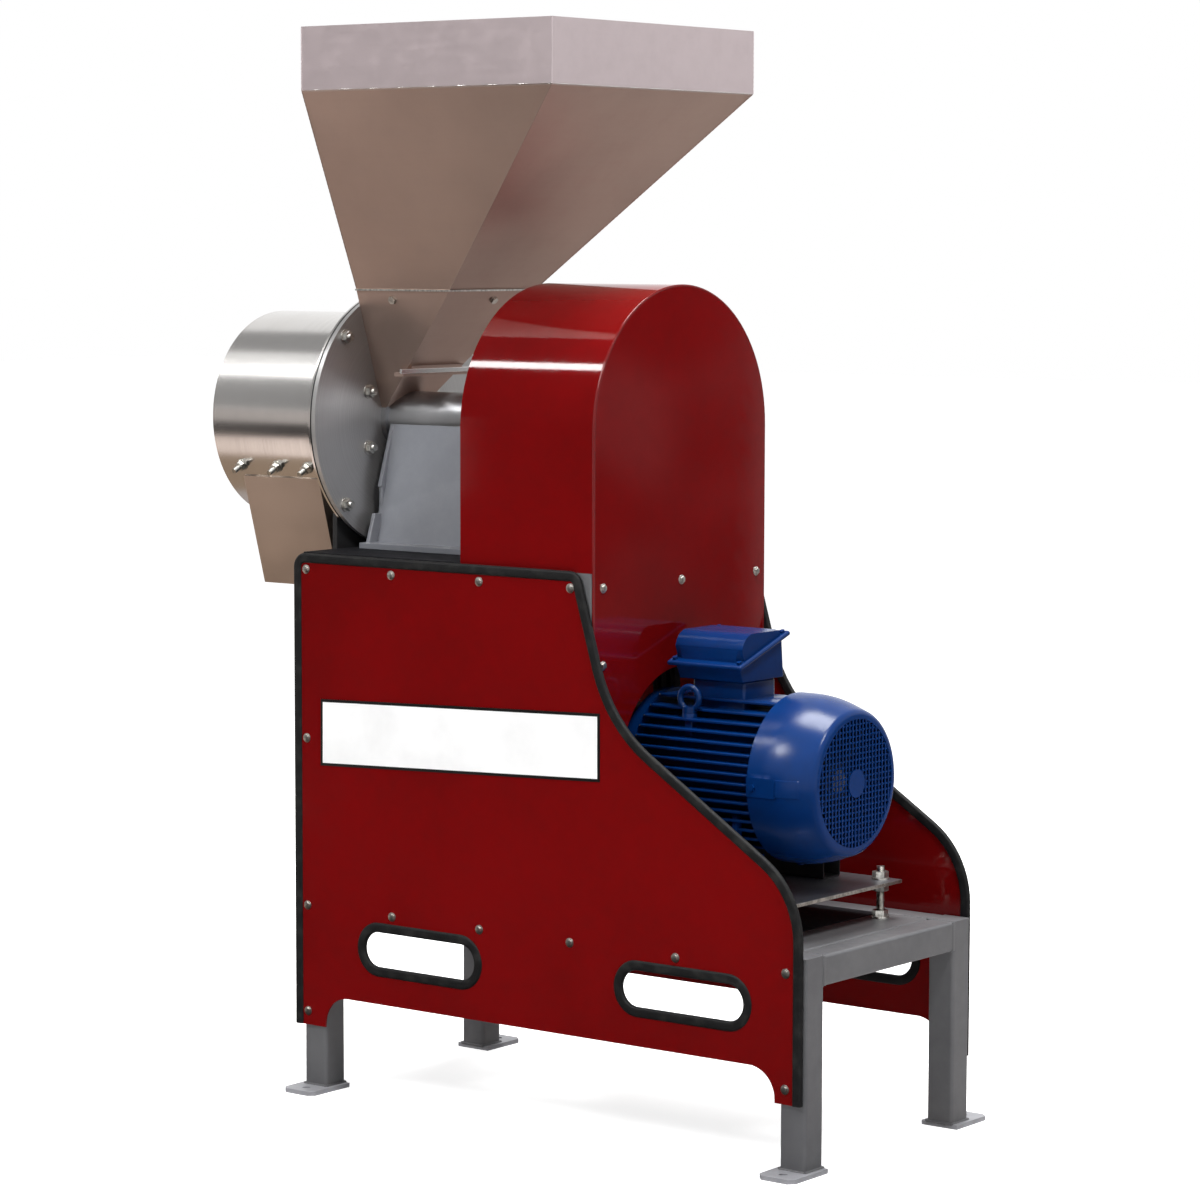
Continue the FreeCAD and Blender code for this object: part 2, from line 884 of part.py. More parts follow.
bearing_seat = s.bearing_dia / 2 + s.seat_gap
node("spindle_housing", turned("spindle_housing", [
    (s.back_face, bearing_seat),
    (s.back_face, s.spindle_flange / 2),
    (s.back_face + s.spindle_flange_thick, s.spindle_flange / 2),
    (s.back_face + s.spindle_flange_thick, s.spindle_dia / 2),
    (s.spindle_end, s.spindle_dia / 2),
    (s.spindle_end, bearing_seat),
    (s.spindle_end - s.bearing_width, bearing_seat),
    (s.spindle_end - s.bearing_width, s.spindle_bore / 2),
    (s.back_face + s.bearing_width, s.spindle_bore / 2),
    (s.back_face + s.bearing_width, bearing_seat),
], s.shaft_z))
shaft_hole = s.shaft_dia / 2 + s.run_gap


def bearing(name, x, bore, outer, width, z):
    return turned(name, rectangle((x, x + width), (bore, outer)), z)


node("spindle_bearings", group("spindle_bearing_pair", [
    bearing("spindle_bearing", x, shaft_hole, s.bearing_dia / 2, s.bearing_width, s.shaft_z)
    for x in (s.back_face, s.spindle_end - s.bearing_width)
]))
node("bearing_cap", turned("bearing_cap", rectangle(
    (s.spindle_end, s.spindle_end + s.cap_thick), (s.shaft_dia / 2 + 1, s.spindle_dia / 2)), s.shaft_z))

# Grinding chamber

drum_inner = s.back_face - s.back_thick
flange_face = drum_inner - s.drum_flange
shell_end = s.drum_end + s.cover_thick
bolt_hole = s.bolt_dia / 2 + s.hole_gap
diagonal = 1 / math.sqrt(2)
back_bolt_spots = [
    (s.back_bolts / 2 * diagonal * y, s.shaft_z + s.back_bolts / 2 * diagonal * z) for y in sides for z in sides
]
wear_bolt_angles = (30, 150, 210, 330)
wear_bolt_spots = [
    (s.wear_bolts / 2 * math.cos(math.radians(a)), s.shaft_z + s.wear_bolts / 2 * math.sin(math.radians(a)))
    for a in wear_bolt_angles
]
feed_loop = [
    (-s.feed_low_half, s.shaft_z + s.feed_low),
    (s.feed_low_half, s.shaft_z + s.feed_low),
    (s.feed_high_half, s.shaft_z + s.feed_high),
    (-s.feed_high_half, s.shaft_z + s.feed_high),
]
back_rings = [(0, s.shaft_z, s.back_dia / 2), (0, s.shaft_z, s.hub_hole / 2)]
back_holes = [(y, z, bolt_hole) for y, z in back_bolt_spots + wear_bolt_spots]
node("chamber_back_plate", padded(
    "chamber_back_plate", "YZ_Plane", drum_inner, s.back_thick, [feed_loop], back_rings + back_holes))
wear_feed = block(
    "wear_feed", (drum_inner - s.wear_thick - 1, drum_inner + 1), (-s.wear_dia, s.wear_dia),
    (s.shaft_z + s.feed_low - 1, s.shaft_z + s.wear_dia))
wear_rings = [(0, s.shaft_z, s.wear_dia / 2), (0, s.shaft_z, s.hub_hole / 2)]
wear_holes = [(y, z, bolt_hole) for y, z in wear_bolt_spots]
wear_disc = padded(
    "wear_disc", "YZ_Plane", drum_inner - s.wear_thick, s.wear_thick, [], wear_rings + wear_holes)
node("wear_plate", cut("wear_plate", wear_disc, [wear_feed]))

drum_r = s.drum_dia / 2
flange_rings = [(0, s.shaft_z, s.back_dia / 2), (0, s.shaft_z, drum_r - s.drum_wall)]
flange_holes = [(y, z, bolt_hole) for y, z in back_bolt_spots]
drum_weldment = fuse("drum_weldment", [
    padded("drum_wall_ring", "YZ_Plane", shell_end, flange_face - shell_end, [],
           [(0, s.shaft_z, drum_r), (0, s.shaft_z, drum_r - s.drum_wall)]),
    padded("drum_flange_ring", "YZ_Plane", flange_face, s.drum_flange, [], flange_rings + flange_holes),
])
chute_in = (s.chute_mill_x + s.chute_wall, s.chute_motor_x - s.chute_wall)
chute_port_half = s.chute_top_half - s.chute_wall * 2
chute_port = block(
    "chute_port", chute_in, (-chute_port_half, chute_port_half), (s.chute_bottom, s.shaft_z - drum_r / 2))
node("drum_shell", cut("drum_shell", drum_weldment, [chute_port]))
node("drum_end_cover", padded(
    "drum_end_cover", "YZ_Plane", s.drum_end, s.cover_thick, [], [(0, s.shaft_z, drum_r)]))
sieve_ring = padded(
    "sieve_ring", "YZ_Plane", shell_end, drum_inner - shell_end, [],
    [(0, s.shaft_z, s.sieve_dia / 2), (0, s.shaft_z, s.sieve_dia / 2 - s.sieve_wall)])
node("sieve", sieve_ring)

grip = s.back_thick + s.bolt_tail + s.bolt_head
back_bolt = bolt_solid(
    num(s.bolt_hex), num(s.bolt_head), num(s.bolt_dia) / 2, num(grip + s.drum_flange), num(s.bolt_head),
    num(s.bolt_tail))
wear_bolt = bolt_solid(
    num(s.bolt_hex), num(s.bolt_head) / 2, num(s.bolt_dia) / 2, num(grip + s.wear_thick), num(s.bolt_head),
    num(s.bolt_tail))
toward_mill = Rotation(Vector(0, 1, 0), -90)
scatter("back_plate_bolts", [
    (back_bolt, Placement(Vector(num(flange_face), num(y), num(z)), toward_mill)) for y, z in back_bolt_spots
] + [
    (wear_bolt, Placement(Vector(num(drum_inner - s.wear_thick), num(y), num(z)), toward_mill))
    for y, z in wear_bolt_spots
])

# Discharge chute: a tapered box under the drum, cut to the drum's round

def chute_loop(inset, low):
    top_half = s.chute_top_half - inset
    low_half = s.chute_low_half - inset
    return [(-low_half, low), (low_half, low), (top_half, s.chute_top_z), (-top_half, s.chute_top_z)]


chute_x = (s.chute_mill_x, s.chute_motor_x)
chute_outer = padded(
    "chute_outer", "YZ_Plane", chute_x[0], chute_x[1] - chute_x[0], [chute_loop(0, s.chute_bottom)])
chute_inner = padded(
    "chute_inner", "YZ_Plane", chute_in[0], chute_in[1] - chute_in[0],
    [chute_loop(s.chute_wall, s.chute_bottom - 1)])
drum_round = rod(
    "drum_round", "X", (s.drum_end, 0, s.shaft_z), drum_r + s.seat_gap, drum_inner - s.drum_end)
node("discharge_chute", cut(
    "discharge_chute", cut("chute_shell", chute_outer, [chute_inner]), [drum_round]))

stud_shape = Part.makeCylinder(num(s.stud_dia) / 2, num(s.stud_long)).fuse(
    hex_solid(num(s.bolt_hex) * 0.85, num(s.bolt_head), num(s.bolt_head) * 0.4))
stud_places = []
for x in (s.chute_mill_x + s.stud_inset * 0.3, (s.chute_mill_x + s.chute_motor_x) / 2, s.chute_motor_x - s.stud_inset):
    for side in sides:
        angle = math.radians(num(s.stud_angle))
        radial = Vector(0, side * math.cos(angle), -math.sin(angle))
        seat = Vector(num(x), 0, num(s.shaft_z)) + radial * num(drum_r + s.seat_gap)
        stud_places.append(Placement(seat, Rotation(Vector(0, 0, 1), radial)))
stud_shape = stud_shape.removeSplitter()
scatter("chute_studs", [(stud_shape, spot) for spot in stud_places])

bracket_x = (-half_length - s.bracket_thick, -half_length)
bracket = block("bracket_plate", bracket_x, (-s.bracket_half, s.bracket_half), (s.bench_top - s.tube, s.bracket_top))
bracket_round = rod(
    "bracket_round", "X", (bracket_x[0] - 1, 0, s.shaft_z), drum_r + s.air_gap, s.bracket_thick + 2)
node("drum_support", cut("drum_support", bracket, [bracket_round]))

# Hopper: upright rim, taper and a sleeve inside the spout

slope_y = (s.seam_half - s.spout_low_half) / (s.seam_z - s.spout_low_z)
slope_x = (s.seam_motor_x - s.seam_mill_x) / (s.seam_z - s.spout_low_z)


def level(body, z, x, half):
    item = sketch(body, "XY_Plane", z)
    outline(item, rectangle(x, (-half, half)))
    return item


def taper(body, kind, low, high):
    item = body.newObject("PartDesign::" + kind, body.Name + "_" + kind)
    item.Profile = low
    item.Sections = [high]
    item.Ruled = True
    body.Tip = item
    return item


def hopper_solid(name, inset, lift, dip):
    # filled hopper shape, drawn in by inset, from the seam to the top of the rim
    body = new_body(name)
    rim_x = (s.rim_mill_x + inset, s.rim_motor_x - inset)
    seam_x = (s.seam_mill_x + inset, s.seam_motor_x - inset)
    low = level(body, s.seam_z - dip, seam_x, s.seam_half - inset)
    high = level(body, s.rim_low, rim_x, s.rim_half - inset)
    taper(body, "AdditiveLoft", low, high)
    feature(body, "Pad", level(body, s.rim_low, rim_x, s.rim_half - inset), Length=s.rim_top - s.rim_low + lift)
    return body


def spout_level(body, z, inset):
    drop = s.seam_z - z
    x = (s.seam_mill_x + inset, s.seam_motor_x - slope_x * drop - inset * 1.4)
    return level(body, z, x, s.seam_half - slope_y * drop - inset * 1.05)


def spout_solid(name, inset, high, low):
    body = new_body(name)
    taper(body, "AdditiveLoft", spout_level(body, low, inset), spout_level(body, high, inset))
    return body


sleeve_low = s.seam_z - s.sleeve
sleeve_gap = s.hopper_wall + s.air_gap
hopper_shell = cut("hopper_shell", hopper_solid("hopper_outer", 0 * s.hopper_wall, 0, 0),
                   [hopper_solid("hopper_inner", s.hopper_wall, 1, 0)])
hopper_sleeve = cut(
    "hopper_sleeve", spout_solid("sleeve_outer", sleeve_gap, s.seam_z, sleeve_low),
    [spout_solid("sleeve_inner", sleeve_gap + s.hopper_wall, s.seam_z, sleeve_low)])
hopper_collar = cut("hopper_collar", block(
    "collar_block", (s.seam_mill_x, s.seam_motor_x), (-s.seam_half, s.seam_half),
    (s.seam_z, s.seam_z + s.hopper_wall)), [block(
        "collar_hole",
        (s.seam_mill_x + sleeve_gap + s.hopper_wall, s.seam_motor_x - sleeve_gap * 1.4 - s.hopper_wall * 1.4),
        (-s.seam_half + sleeve_gap + s.hopper_wall * 1.05, s.seam_half - sleeve_gap - s.hopper_wall * 1.05),
        (s.seam_z - 1, s.seam_z + s.hopper_wall + 1))])

bolt_level = s.seam_z - s.hopper_bolt_drop
bolt_half = s.seam_half - slope_y * s.hopper_bolt_drop
bolt_front = s.seam_motor_x - slope_x * s.hopper_bolt_drop
bolt_x = (s.seam_mill_x + s.seam_motor_x) / 2 - s.hopper_bolt_back
hopper_places = [
    Placement(Vector(num(bolt_x), -num(bolt_half), num(bolt_level)),
              Rotation(Vector(0, 0, 1), Vector(0, -1, -num(slope_y)))),
    Placement(Vector(num(bolt_x), num(bolt_half), num(bolt_level)),
              Rotation(Vector(0, 0, 1), Vector(0, 1, -num(slope_y)))),
    Placement(Vector(num(bolt_front), num(s.hopper_bolt_over), num(bolt_level)),
              Rotation(Vector(0, 0, 1), Vector(1, 0, -num(slope_x)))),
]
bolt_reach = num(s.hopper_wall) * 7
hopper_drill = doc.addObject("Part::Feature", "hopper_drills")
hopper_drill.Shape = Part.makeCompound([
    Part.makeCylinder(num(s.hopper_bolt / 2 + s.hole_gap), bolt_reach * 2, Vector(0, 0, -bolt_reach)).transformed(
        spot.toMatrix())
    for spot in hopper_places
])
node("hopper", cut("hopper", fuse(
    "hopper_weldment", [hopper_shell, hopper_collar, hopper_sleeve]), [hopper_drill]))

# Spout: a wedge against the back plate, coped over the spindle housing, slotted for the gate

spout_bottom = s.spout_low_z + s.hopper_wall * 2
spout_shell = cut("spout_shell", spout_solid("spout_outer", 0 * s.hopper_wall, s.seam_z, spout_bottom), [
    spout_solid("spout_inner", s.hopper_wall, s.seam_z, spout_bottom + s.hopper_wall * 3)])
spout_fit = rod("spout_fit", "X", (s.back_face - 1, 0, s.shaft_z), s.spindle_dia / 2 + s.seat_gap,
                s.spindle_end - s.back_face)
spout_flange_fit = rod("spout_flange_fit", "X", (s.back_face - 1, 0, s.shaft_z),
                       s.spindle_flange / 2 + s.seat_gap, s.spindle_flange_thick + 1 + s.air_gap)
feed_cut = padded("feed_cut", "YZ_Plane", s.back_face - 1, s.hopper_wall * 3, [feed_loop])
gate_half = s.seam_half - slope_y * (s.seam_z - s.gate_z) - s.hopper_wall * 1.5 - s.gate_play
gate_low = s.gate_z - s.gate_thick / 2
gate_high = s.gate_z + s.gate_thick / 2
gate_face = s.seam_motor_x - slope_x * (s.seam_z - s.gate_z)
gate_slot = block(
    "gate_slot", (gate_face - s.hopper_wall * 6, gate_face + s.hopper_wall * 6),
    (-gate_half - s.gate_play, gate_half + s.gate_play), (gate_low - s.gate_play, gate_high + s.gate_play))
spout_cut = cut("spout_coped", cut("spout_open", spout_shell, [spout_fit]), [spout_flange_fit])
spout_cut = cut("spout_fed", spout_cut, [feed_cut])
spout_cut = cut("spout_slotted", spout_cut, [gate_slot])
node("hopper_spout", cut("hopper_spout", spout_cut, [hopper_drill]))

lip_x = gate_face + s.guide_deep + s.gate_play
node("feed_gate", fuse("feed_gate", [
    block("gate_plate", (s.seam_mill_x + s.hopper_wall + s.gate_play, lip_x + s.lip_thick),
          (-gate_half, gate_half), (gate_low, gate_high)),
    block("gate_lip", (lip_x, lip_x + s.lip_thick), (-s.lip_half, s.lip_half),
          (s.gate_z - s.lip_high / 2, s.gate_z + s.lip_high / 2)),
]))
guide_body = group("guide_strips", [
    block("low_guide", (gate_face - s.guide_deep, gate_face + s.guide_deep), (-s.guide_half, s.guide_half),
          (gate_low - s.gate_play - s.guide_high, gate_low - s.gate_play)),
    block("high_guide", (gate_face - s.guide_deep, gate_face + s.guide_deep), (-gate_half, gate_half),
          (gate_high + s.gate_play, gate_high + s.gate_play + s.guide_high)),
])
node("gate_guides", cut("gate_guides", guide_body, [
    spout_solid("guide_fit", 0 * s.hopper_wall, s.seam_z, spout_bottom)]))

hopper_bolt = bolt_solid(
    num(s.hopper_bolt) * 1.6, num(s.hopper_bolt) * 0.6, num(s.hopper_bolt) / 2, bolt_reach)
scatter("hopper_bolts", [(hopper_bolt, spot) for spot in hopper_places])

# Belt guard: an arched hood over the mill pulley and a face plate down to the motor

guard_x = (s.guard_mill_x, guard_plate[0])


def arch(name, radius, x, low):
    # an upright slab with a round top about the mill shaft
    whole = fuse(name + "_whole", [
        rod(name + "_round", "X", (x[0], 0, s.shaft_z), radius, x[1] - x[0]),
        block(name + "_slab", x, (-radius, radius), (low, s.shaft_z)),
    ])
    floor = block(name + "_floor", (x[0] - 1, x[1] + 1), (-radius, radius), (low - radius, low))
    return cut(name, whole, [floor])


hood_in = (guard_x[0] + s.guard_wall, guard_x[1] + 1)
hood = cut("hood_shell", arch("hood_outer", half_width, guard_x, s.bench_top), [
    arch("hood_inner", half_width - s.guard_wall, hood_in, s.bench_top - 1)])
wall_clear = s.guard_wall * 2
pedestal_window = padded("pedestal_window", "YZ_Plane", guard_x[0] - 1, s.guard_wall + 2, [[
    (-s.pedestal_base_wide / 2 - wall_clear, s.bench_top - 1),
    (s.pedestal_base_wide / 2 + wall_clear, s.bench_top - 1),
    (s.pedestal_base_wide / 2 + wall_clear, base_top + wall_clear),
    (s.pedestal_foot / 2 + wall_clear, base_top + wall_clear),
    (cheek_half + wall_clear, cheek_top),
    (-cheek_half - wall_clear, cheek_top),
    (-s.pedestal_foot / 2 - wall_clear, base_top + wall_clear),
    (-s.pedestal_base_wide / 2 - wall_clear, base_top + wall_clear),
]])
spindle_window = rod("spindle_window", "X", (guard_x[0] - 1, 0, s.shaft_z),
                     s.spindle_dia / 2 + wall_clear, s.guard_wall + 2)
deck_edge = block(
    "deck_edge", (guard_x[0] - 1, deck_stop), (s.guard_wall - half_width, half_width - s.guard_wall),
    (s.bench_top - 1, deck_high))
hood_open = cut("hood_open", hood, [pedestal_window, spindle_window, deck_edge])
face = arch("face_outer", half_width, guard_plate, s.guard_bottom)
motor_hole = fuse("motor_window_tool", [
    rod("motor_window_round", "X", (guard_plate[0] - 1, 0, s.motor_z), s.motor_window, s.guard_wall + 2),
    block("motor_window_leg", (guard_plate[0] - 1, guard_plate[1] + 1), (-s.motor_window, s.motor_window),
          (s.guard_bottom - 1, s.motor_z)),
])
face_open = cut("face_drilled", cut("face_window", face, [motor_hole]), [guard_drill])
node("belt_guard", fuse("belt_guard", [hood_open, face_open]))
guard_screw = bolt_solid(
    num(s.screw_head), num(s.screw_head_high), num(s.screw_dia) / 2, num(s.guard_wall + s.tube_wall))
toward_motor = Rotation(Vector(0, 1, 0), 90)
scatter("guard_screws", [
    (guard_screw, Placement(Vector(num(guard_plate[1]), num(y), num(z)), toward_motor)) for y, z in guard_spots
])

# Mill rotor: shaft, beaters and pulley

pulley_half = s.pulley_rim + s.belt_pitch * (s.belt_count - 1) / 2
pulley_x = (s.belt_x - pulley_half, s.belt_x + pulley_half)
hub_x = (s.rotor_x - s.rotor_hub_long, s.rotor_x)
shaft_start = hub_x[0] - s.rotor_nut_thick
shaft_r = s.shaft_dia / 2
node("mill_shaft", turned("mill_shaft", rectangle((shaft_start, pulley_x[1] + 6), (0, shaft_r)), s.shaft_z))
rotor_bore = shaft_r + s.seat_gap
rotor = new_body("beater_rotor")
rotor_profile = sketch(rotor, "XZ_Plane")
disc_x = (s.rotor_x - s.rotor_thick, s.rotor_x)
outline(rotor_profile, [
    (hub_x[0], rotor_bore),
    (hub_x[1], rotor_bore),
    (hub_x[1], s.rotor_dia / 2),
    (disc_x[0], s.rotor_dia / 2),
    (disc_x[0], s.rotor_hub_dia / 2),
    (hub_x[0], s.rotor_hub_dia / 2),
])
rotor_spin = feature(rotor, "Revolution", rotor_profile)
rotor_spin.ReferenceAxis = (rotor_profile, ["H_Axis"])
rotor_spin.Angle = 360
beater_profile = sketch(rotor, "XY_Plane", -s.beater_thick / 2)
outline(beater_profile, rectangle(
    (disc_x[0] - s.beater_long, disc_x[0]), (s.rotor_dia / 2 - s.beater_deep, s.rotor_dia / 2 - 1)))
beater = feature(rotor, "Pad", beater_profile, Length=s.beater_thick)
polar(rotor, beater, s.beater_count, "X_Axis")
place(rotor, 0, 0, s.shaft_z)
node("beater_rotor", rotor)
rotor_nut = cut("rotor_nut", hexagon(
    "nut_blank", "X", (shaft_start, 0, s.shaft_z), s.rotor_nut, s.rotor_nut_thick), [
        rod("nut_bore", "X", (shaft_start - 1, 0, s.shaft_z), rotor_bore, s.rotor_nut_thick + 2)])
node("rotor_nut", rotor_nut)


def pulley(name, diameter, bore, z):
    # a grooved wheel: each groove leaves clearance round its belt
    low = diameter / 2 + s.belt_proud - s.belt_high - s.pulley_gap * 2
    slant = (s.belt_wide - s.belt_narrow) / 2 / s.belt_high
    high_half = s.belt_wide / 2 - slant * s.belt_proud + s.pulley_gap
    low_half = s.belt_narrow / 2 + s.pulley_gap
    loop = [(pulley_x[0], bore), (pulley_x[0], diameter / 2)]
    for k in range(int(num(s.belt_count))):
        middle = s.belt_x + s.belt_pitch * (k - (s.belt_count - 1) / 2)
        loop += [
            (middle - high_half, diameter / 2),
            (middle - low_half, low),
            (middle + low_half, low),
            (middle + high_half, diameter / 2),
        ]
    loop += [(pulley_x[1], diameter / 2), (pulley_x[1], bore)]
    return turned(name, loop, z)


node("mill_pulley", pulley("mill_pulley", s.mill_pulley_dia, rotor_bore, s.shaft_z))

# V-belts: a tapered section swept round both pulleys

def belt(x):
    low, high = num(s.motor_z), num(s.shaft_z)
    small = num(s.mill_pulley_dia / 2 + s.belt_proud - s.belt_high)
    large = num(s.motor_pulley_dia / 2 + s.belt_proud - s.belt_high)
    span = high - low
    lean = math.asin((large - small) / span)
    cos, sin = math.cos(lean), math.sin(lean)

    def spot(radius, z, side):
        return Vector(x, side * radius * cos, z + radius * sin)

    top = [spot(small, high, -1), spot(small, high, 1)]
    low_spots = [spot(large, low, -1), spot(large, low, 1)]
    path = Part.Wire([
        Part.LineSegment(low_spots[0], top[0]).toShape(),
        Part.Arc(top[0], Vector(x, 0, high + small), top[1]).toShape(),
        Part.LineSegment(top[1], low_spots[1]).toShape(),
        Part.Arc(low_spots[1], Vector(x, 0, low - large), low_spots[0]).toShape(),
    ])
    out = Vector(0, -cos, sin)
    along = Vector(1, 0, 0)
    wide, narrow, tall = num(s.belt_wide) / 2, num(s.belt_narrow) / 2, num(s.belt_high)
    start = low_spots[0]
    section = Part.makePolygon([
        start - along * narrow,
        start + along * narrow,
        start + along * wide + out * tall,
        start - along * wide + out * tall,
        start - along * narrow,
    ])
    return path.makePipeShell([section], True, False)


belts = doc.addObject("Part::Feature", "drive_belts")
belts.Shape = Part.makeCompound([
    belt(num(s.belt_x + s.belt_pitch * (k - (s.belt_count - 1) / 2))) for k in range(int(num(s.belt_count)))
])
node("drive_belts", belts)

# Motor plate on its tension studs

foot_plane = s.motor_z - s.motor_height
plate_top = foot_plane - s.tube
plate_low = plate_top - s.plate_thick
tension_spots = [(x, s.tension_half * side) for x in (s.upright_x, s.tension_x) for side in sides]
tension_hole = s.tension_dia / 2 + s.tension_play
plate_blank = padded(
    "plate_blank", "XY_Plane", plate_low, s.plate_thick,
    [rectangle((s.plate_start, s.plate_stop), (-s.plate_half, s.plate_half))],
    [(x, y, tension_hole) for x, y in tension_spots])
stud_r = s.tension_dia / 2
stud_solid = Part.makeCylinder(num(stud_r), num(plate_top + s.tension_over - s.deck_top)).fuse(
    hex_solid(num(s.tension_hex), num(s.tension_nut)))
stud_solid = stud_solid.removeSplitter()
scatter("tension_studs", [
    (stud_solid, Placement(Vector(num(x), num(y), num(s.deck_top)), Rotation())) for x, y in tension_spots
])
nut_bore = num(stud_r + s.run_gap)
washer_thick = num(s.tension_washer_thick)
nut_blanks = [
    Part.makeCylinder(num(s.tension_washer) / 2, washer_thick),
    hex_solid(num(s.tension_hex), num(s.tension_nut), washer_thick),
    Part.makeCylinder(num(s.tension_washer) / 2, washer_thick, Vector(0, 0, -num(s.plate_thick) - washer_thick)),
    hex_solid(num(s.tension_hex), num(s.tension_nut), -num(s.plate_thick + s.tension_nut) - washer_thick),
]
nut_reach = num(s.plate_thick + s.tension_nut + s.tension_washer_thick) * 2
nut_tool = Part.makeCylinder(nut_bore, nut_reach * 2, Vector(0, 0, -nut_reach))
nut_pair = Part.makeCompound([blank.cut(nut_tool) for blank in (
    nut_blanks[0].fuse(nut_blanks[1]), nut_blanks[2].fuse(nut_blanks[3]))])
scatter("tension_nuts", [
    (nut_pair, Placement(Vector(num(x), num(y), num(plate_top)), Rotation())) for x, y in tension_spots
])

# Motor frame: round core with level fins, four feet and a pad for the terminal box

foot_x = [s.motor_shoulder + s.foot_setback, s.motor_shoulder + s.foot_setback + s.foot_reach]
foot_y = s.foot_span / 2
frame_x = (s.frame_start, s.frame_stop)
fin_r = s.motor_fin_dia / 2
fin_count = int(num(s.fin_rows))
fins = common("fin_block", [
    group("fin_set", [
        block("fin", frame_x, (-fin_r, fin_r),
              (s.motor_z + s.fin_pitch * k - s.fin_thick / 2, s.motor_z + s.fin_pitch * k + s.fin_thick / 2))
        for k in range(1 - fin_count, fin_count + 1)
    ]),
    turned("fin_round", [
        (frame_x[0], 0),
        (frame_x[0], fin_r, s.fin_round),
        (frame_x[1], fin_r, s.fin_round),
        (frame_x[1], 0),
    ], s.motor_z),
])
foot_pads = []
for x in foot_x:
    for side in sides:
        pad_y = sorted((foot_y * side - s.motor_foot_wide / 2, foot_y * side + s.motor_foot_wide / 2), key=num)
        pad_x = (x - s.motor_foot_long / 2, x + s.motor_foot_long / 2)
        web_y = sorted((foot_y * side - s.foot_web / 2, foot_y * side + s.foot_web / 2), key=num)
        foot_pads.append(block("foot_pad", pad_x, pad_y, (foot_plane, foot_plane + s.motor_foot_thick)))
        foot_pads.append(block(
            "foot_web", (x - s.motor_foot_long / 2, x - s.motor_foot_long / 4), web_y,
            (foot_plane, s.motor_z - foot_y / 2)))
box_low = s.motor_z + s.box_rise
eye_z = s.motor_z + s.eye_rise
eye_foot = eye_z - s.eye_ring / 2 - s.eye_wire
eye_seat = s.motor_z + s.fin_pitch * s.eye_fin - s.fin_thick / 2
box_neck = block("box_neck", (s.neck_start, s.neck_start + s.neck_long), (-s.neck_half, s.neck_half),
                 (s.motor_z, box_low))
eye_boss = rod("eye_boss", "Z", (s.eye_x, s.eye_y, eye_seat), s.eye_boss / 2, eye_foot - eye_seat)
eye_rib = block("eye_rib", (s.eye_x - s.eye_rib / 2, s.eye_x + s.eye_rib / 2), (s.eye_y - s.eye_rib / 4, s.eye_y / 2),
                (s.motor_z, eye_seat + s.fin_thick / 2))
motor_core = rod("motor_core", "X", (frame_x[0], 0, s.motor_z), s.motor_core_dia / 2, frame_x[1] - frame_x[0])
motor_solid = fuse("motor_casting", [motor_core, fins, box_neck, eye_boss, eye_rib] + foot_pads)
eye_room = fuse("eye_room", [
    rod("collar_room", "Z", (s.eye_x, s.eye_y, eye_foot), s.eye_boss / 2 + s.air_gap, s.eye_ring + s.eye_wire * 2),
    block("ring_room", (s.eye_x - s.eye_ring / 2 - s.eye_wire - s.air_gap, s.eye_x + s.eye_ring / 2 + s.eye_wire + s.air_gap),
          (s.eye_y - s.eye_wire, s.eye_y + s.eye_wire / 2 + s.air_gap), (eye_foot, eye_z + s.eye_ring)),
])
rotor_space = rod("rotor_space", "X", (frame_x[0] - 1, 0, s.motor_z), s.motor_bearing_dia / 2, frame_x[1] - frame_x[0] + 2)
motor_bolt_hole = s.motor_bolt / 2 + s.hole_gap
motor_spots = [(x, foot_y * side) for x in foot_x for side in sides]
motor_drill = group("motor_drills", [
    rod("motor_drill", "Z", (x, y, plate_low - 1), motor_bolt_hole, foot_plane - plate_low + s.motor_foot_thick + 2)
    for x, y in motor_spots
])
node("motor_frame", cut("motor_frame", cut("motor_bored", motor_solid, [rotor_space]), [motor_drill, eye_room]))
riser_run = (foot_x[0] - s.motor_foot_long / 2, foot_x[1] + s.motor_foot_long / 2)
risers = group("riser_pair", [
    tube("riser", "X", foot_y * side, (plate_top + foot_plane) / 2, riser_run) for side in sides
])
node("motor_risers", cut("motor_risers", risers, [motor_drill]))
node("motor_plate", cut("motor_plate", plate_blank, [motor_drill]))
motor_bolt = bolt_solid(
    num(s.motor_bolt) * 1.5, num(s.motor_bolt) * 0.6, num(s.motor_bolt) / 2,
    num(foot_plane - plate_low + s.motor_foot_thick + s.motor_bolt), num(s.motor_bolt) * 0.8,
    num(s.motor_bolt) * 0.2)
scatter("motor_bolts", [
    (motor_bolt, Placement(Vector(num(x), num(y), num(foot_plane + s.motor_foot_thick)), Rotation()))
    for x, y in motor_spots
])

# End shields carry the motor bearings

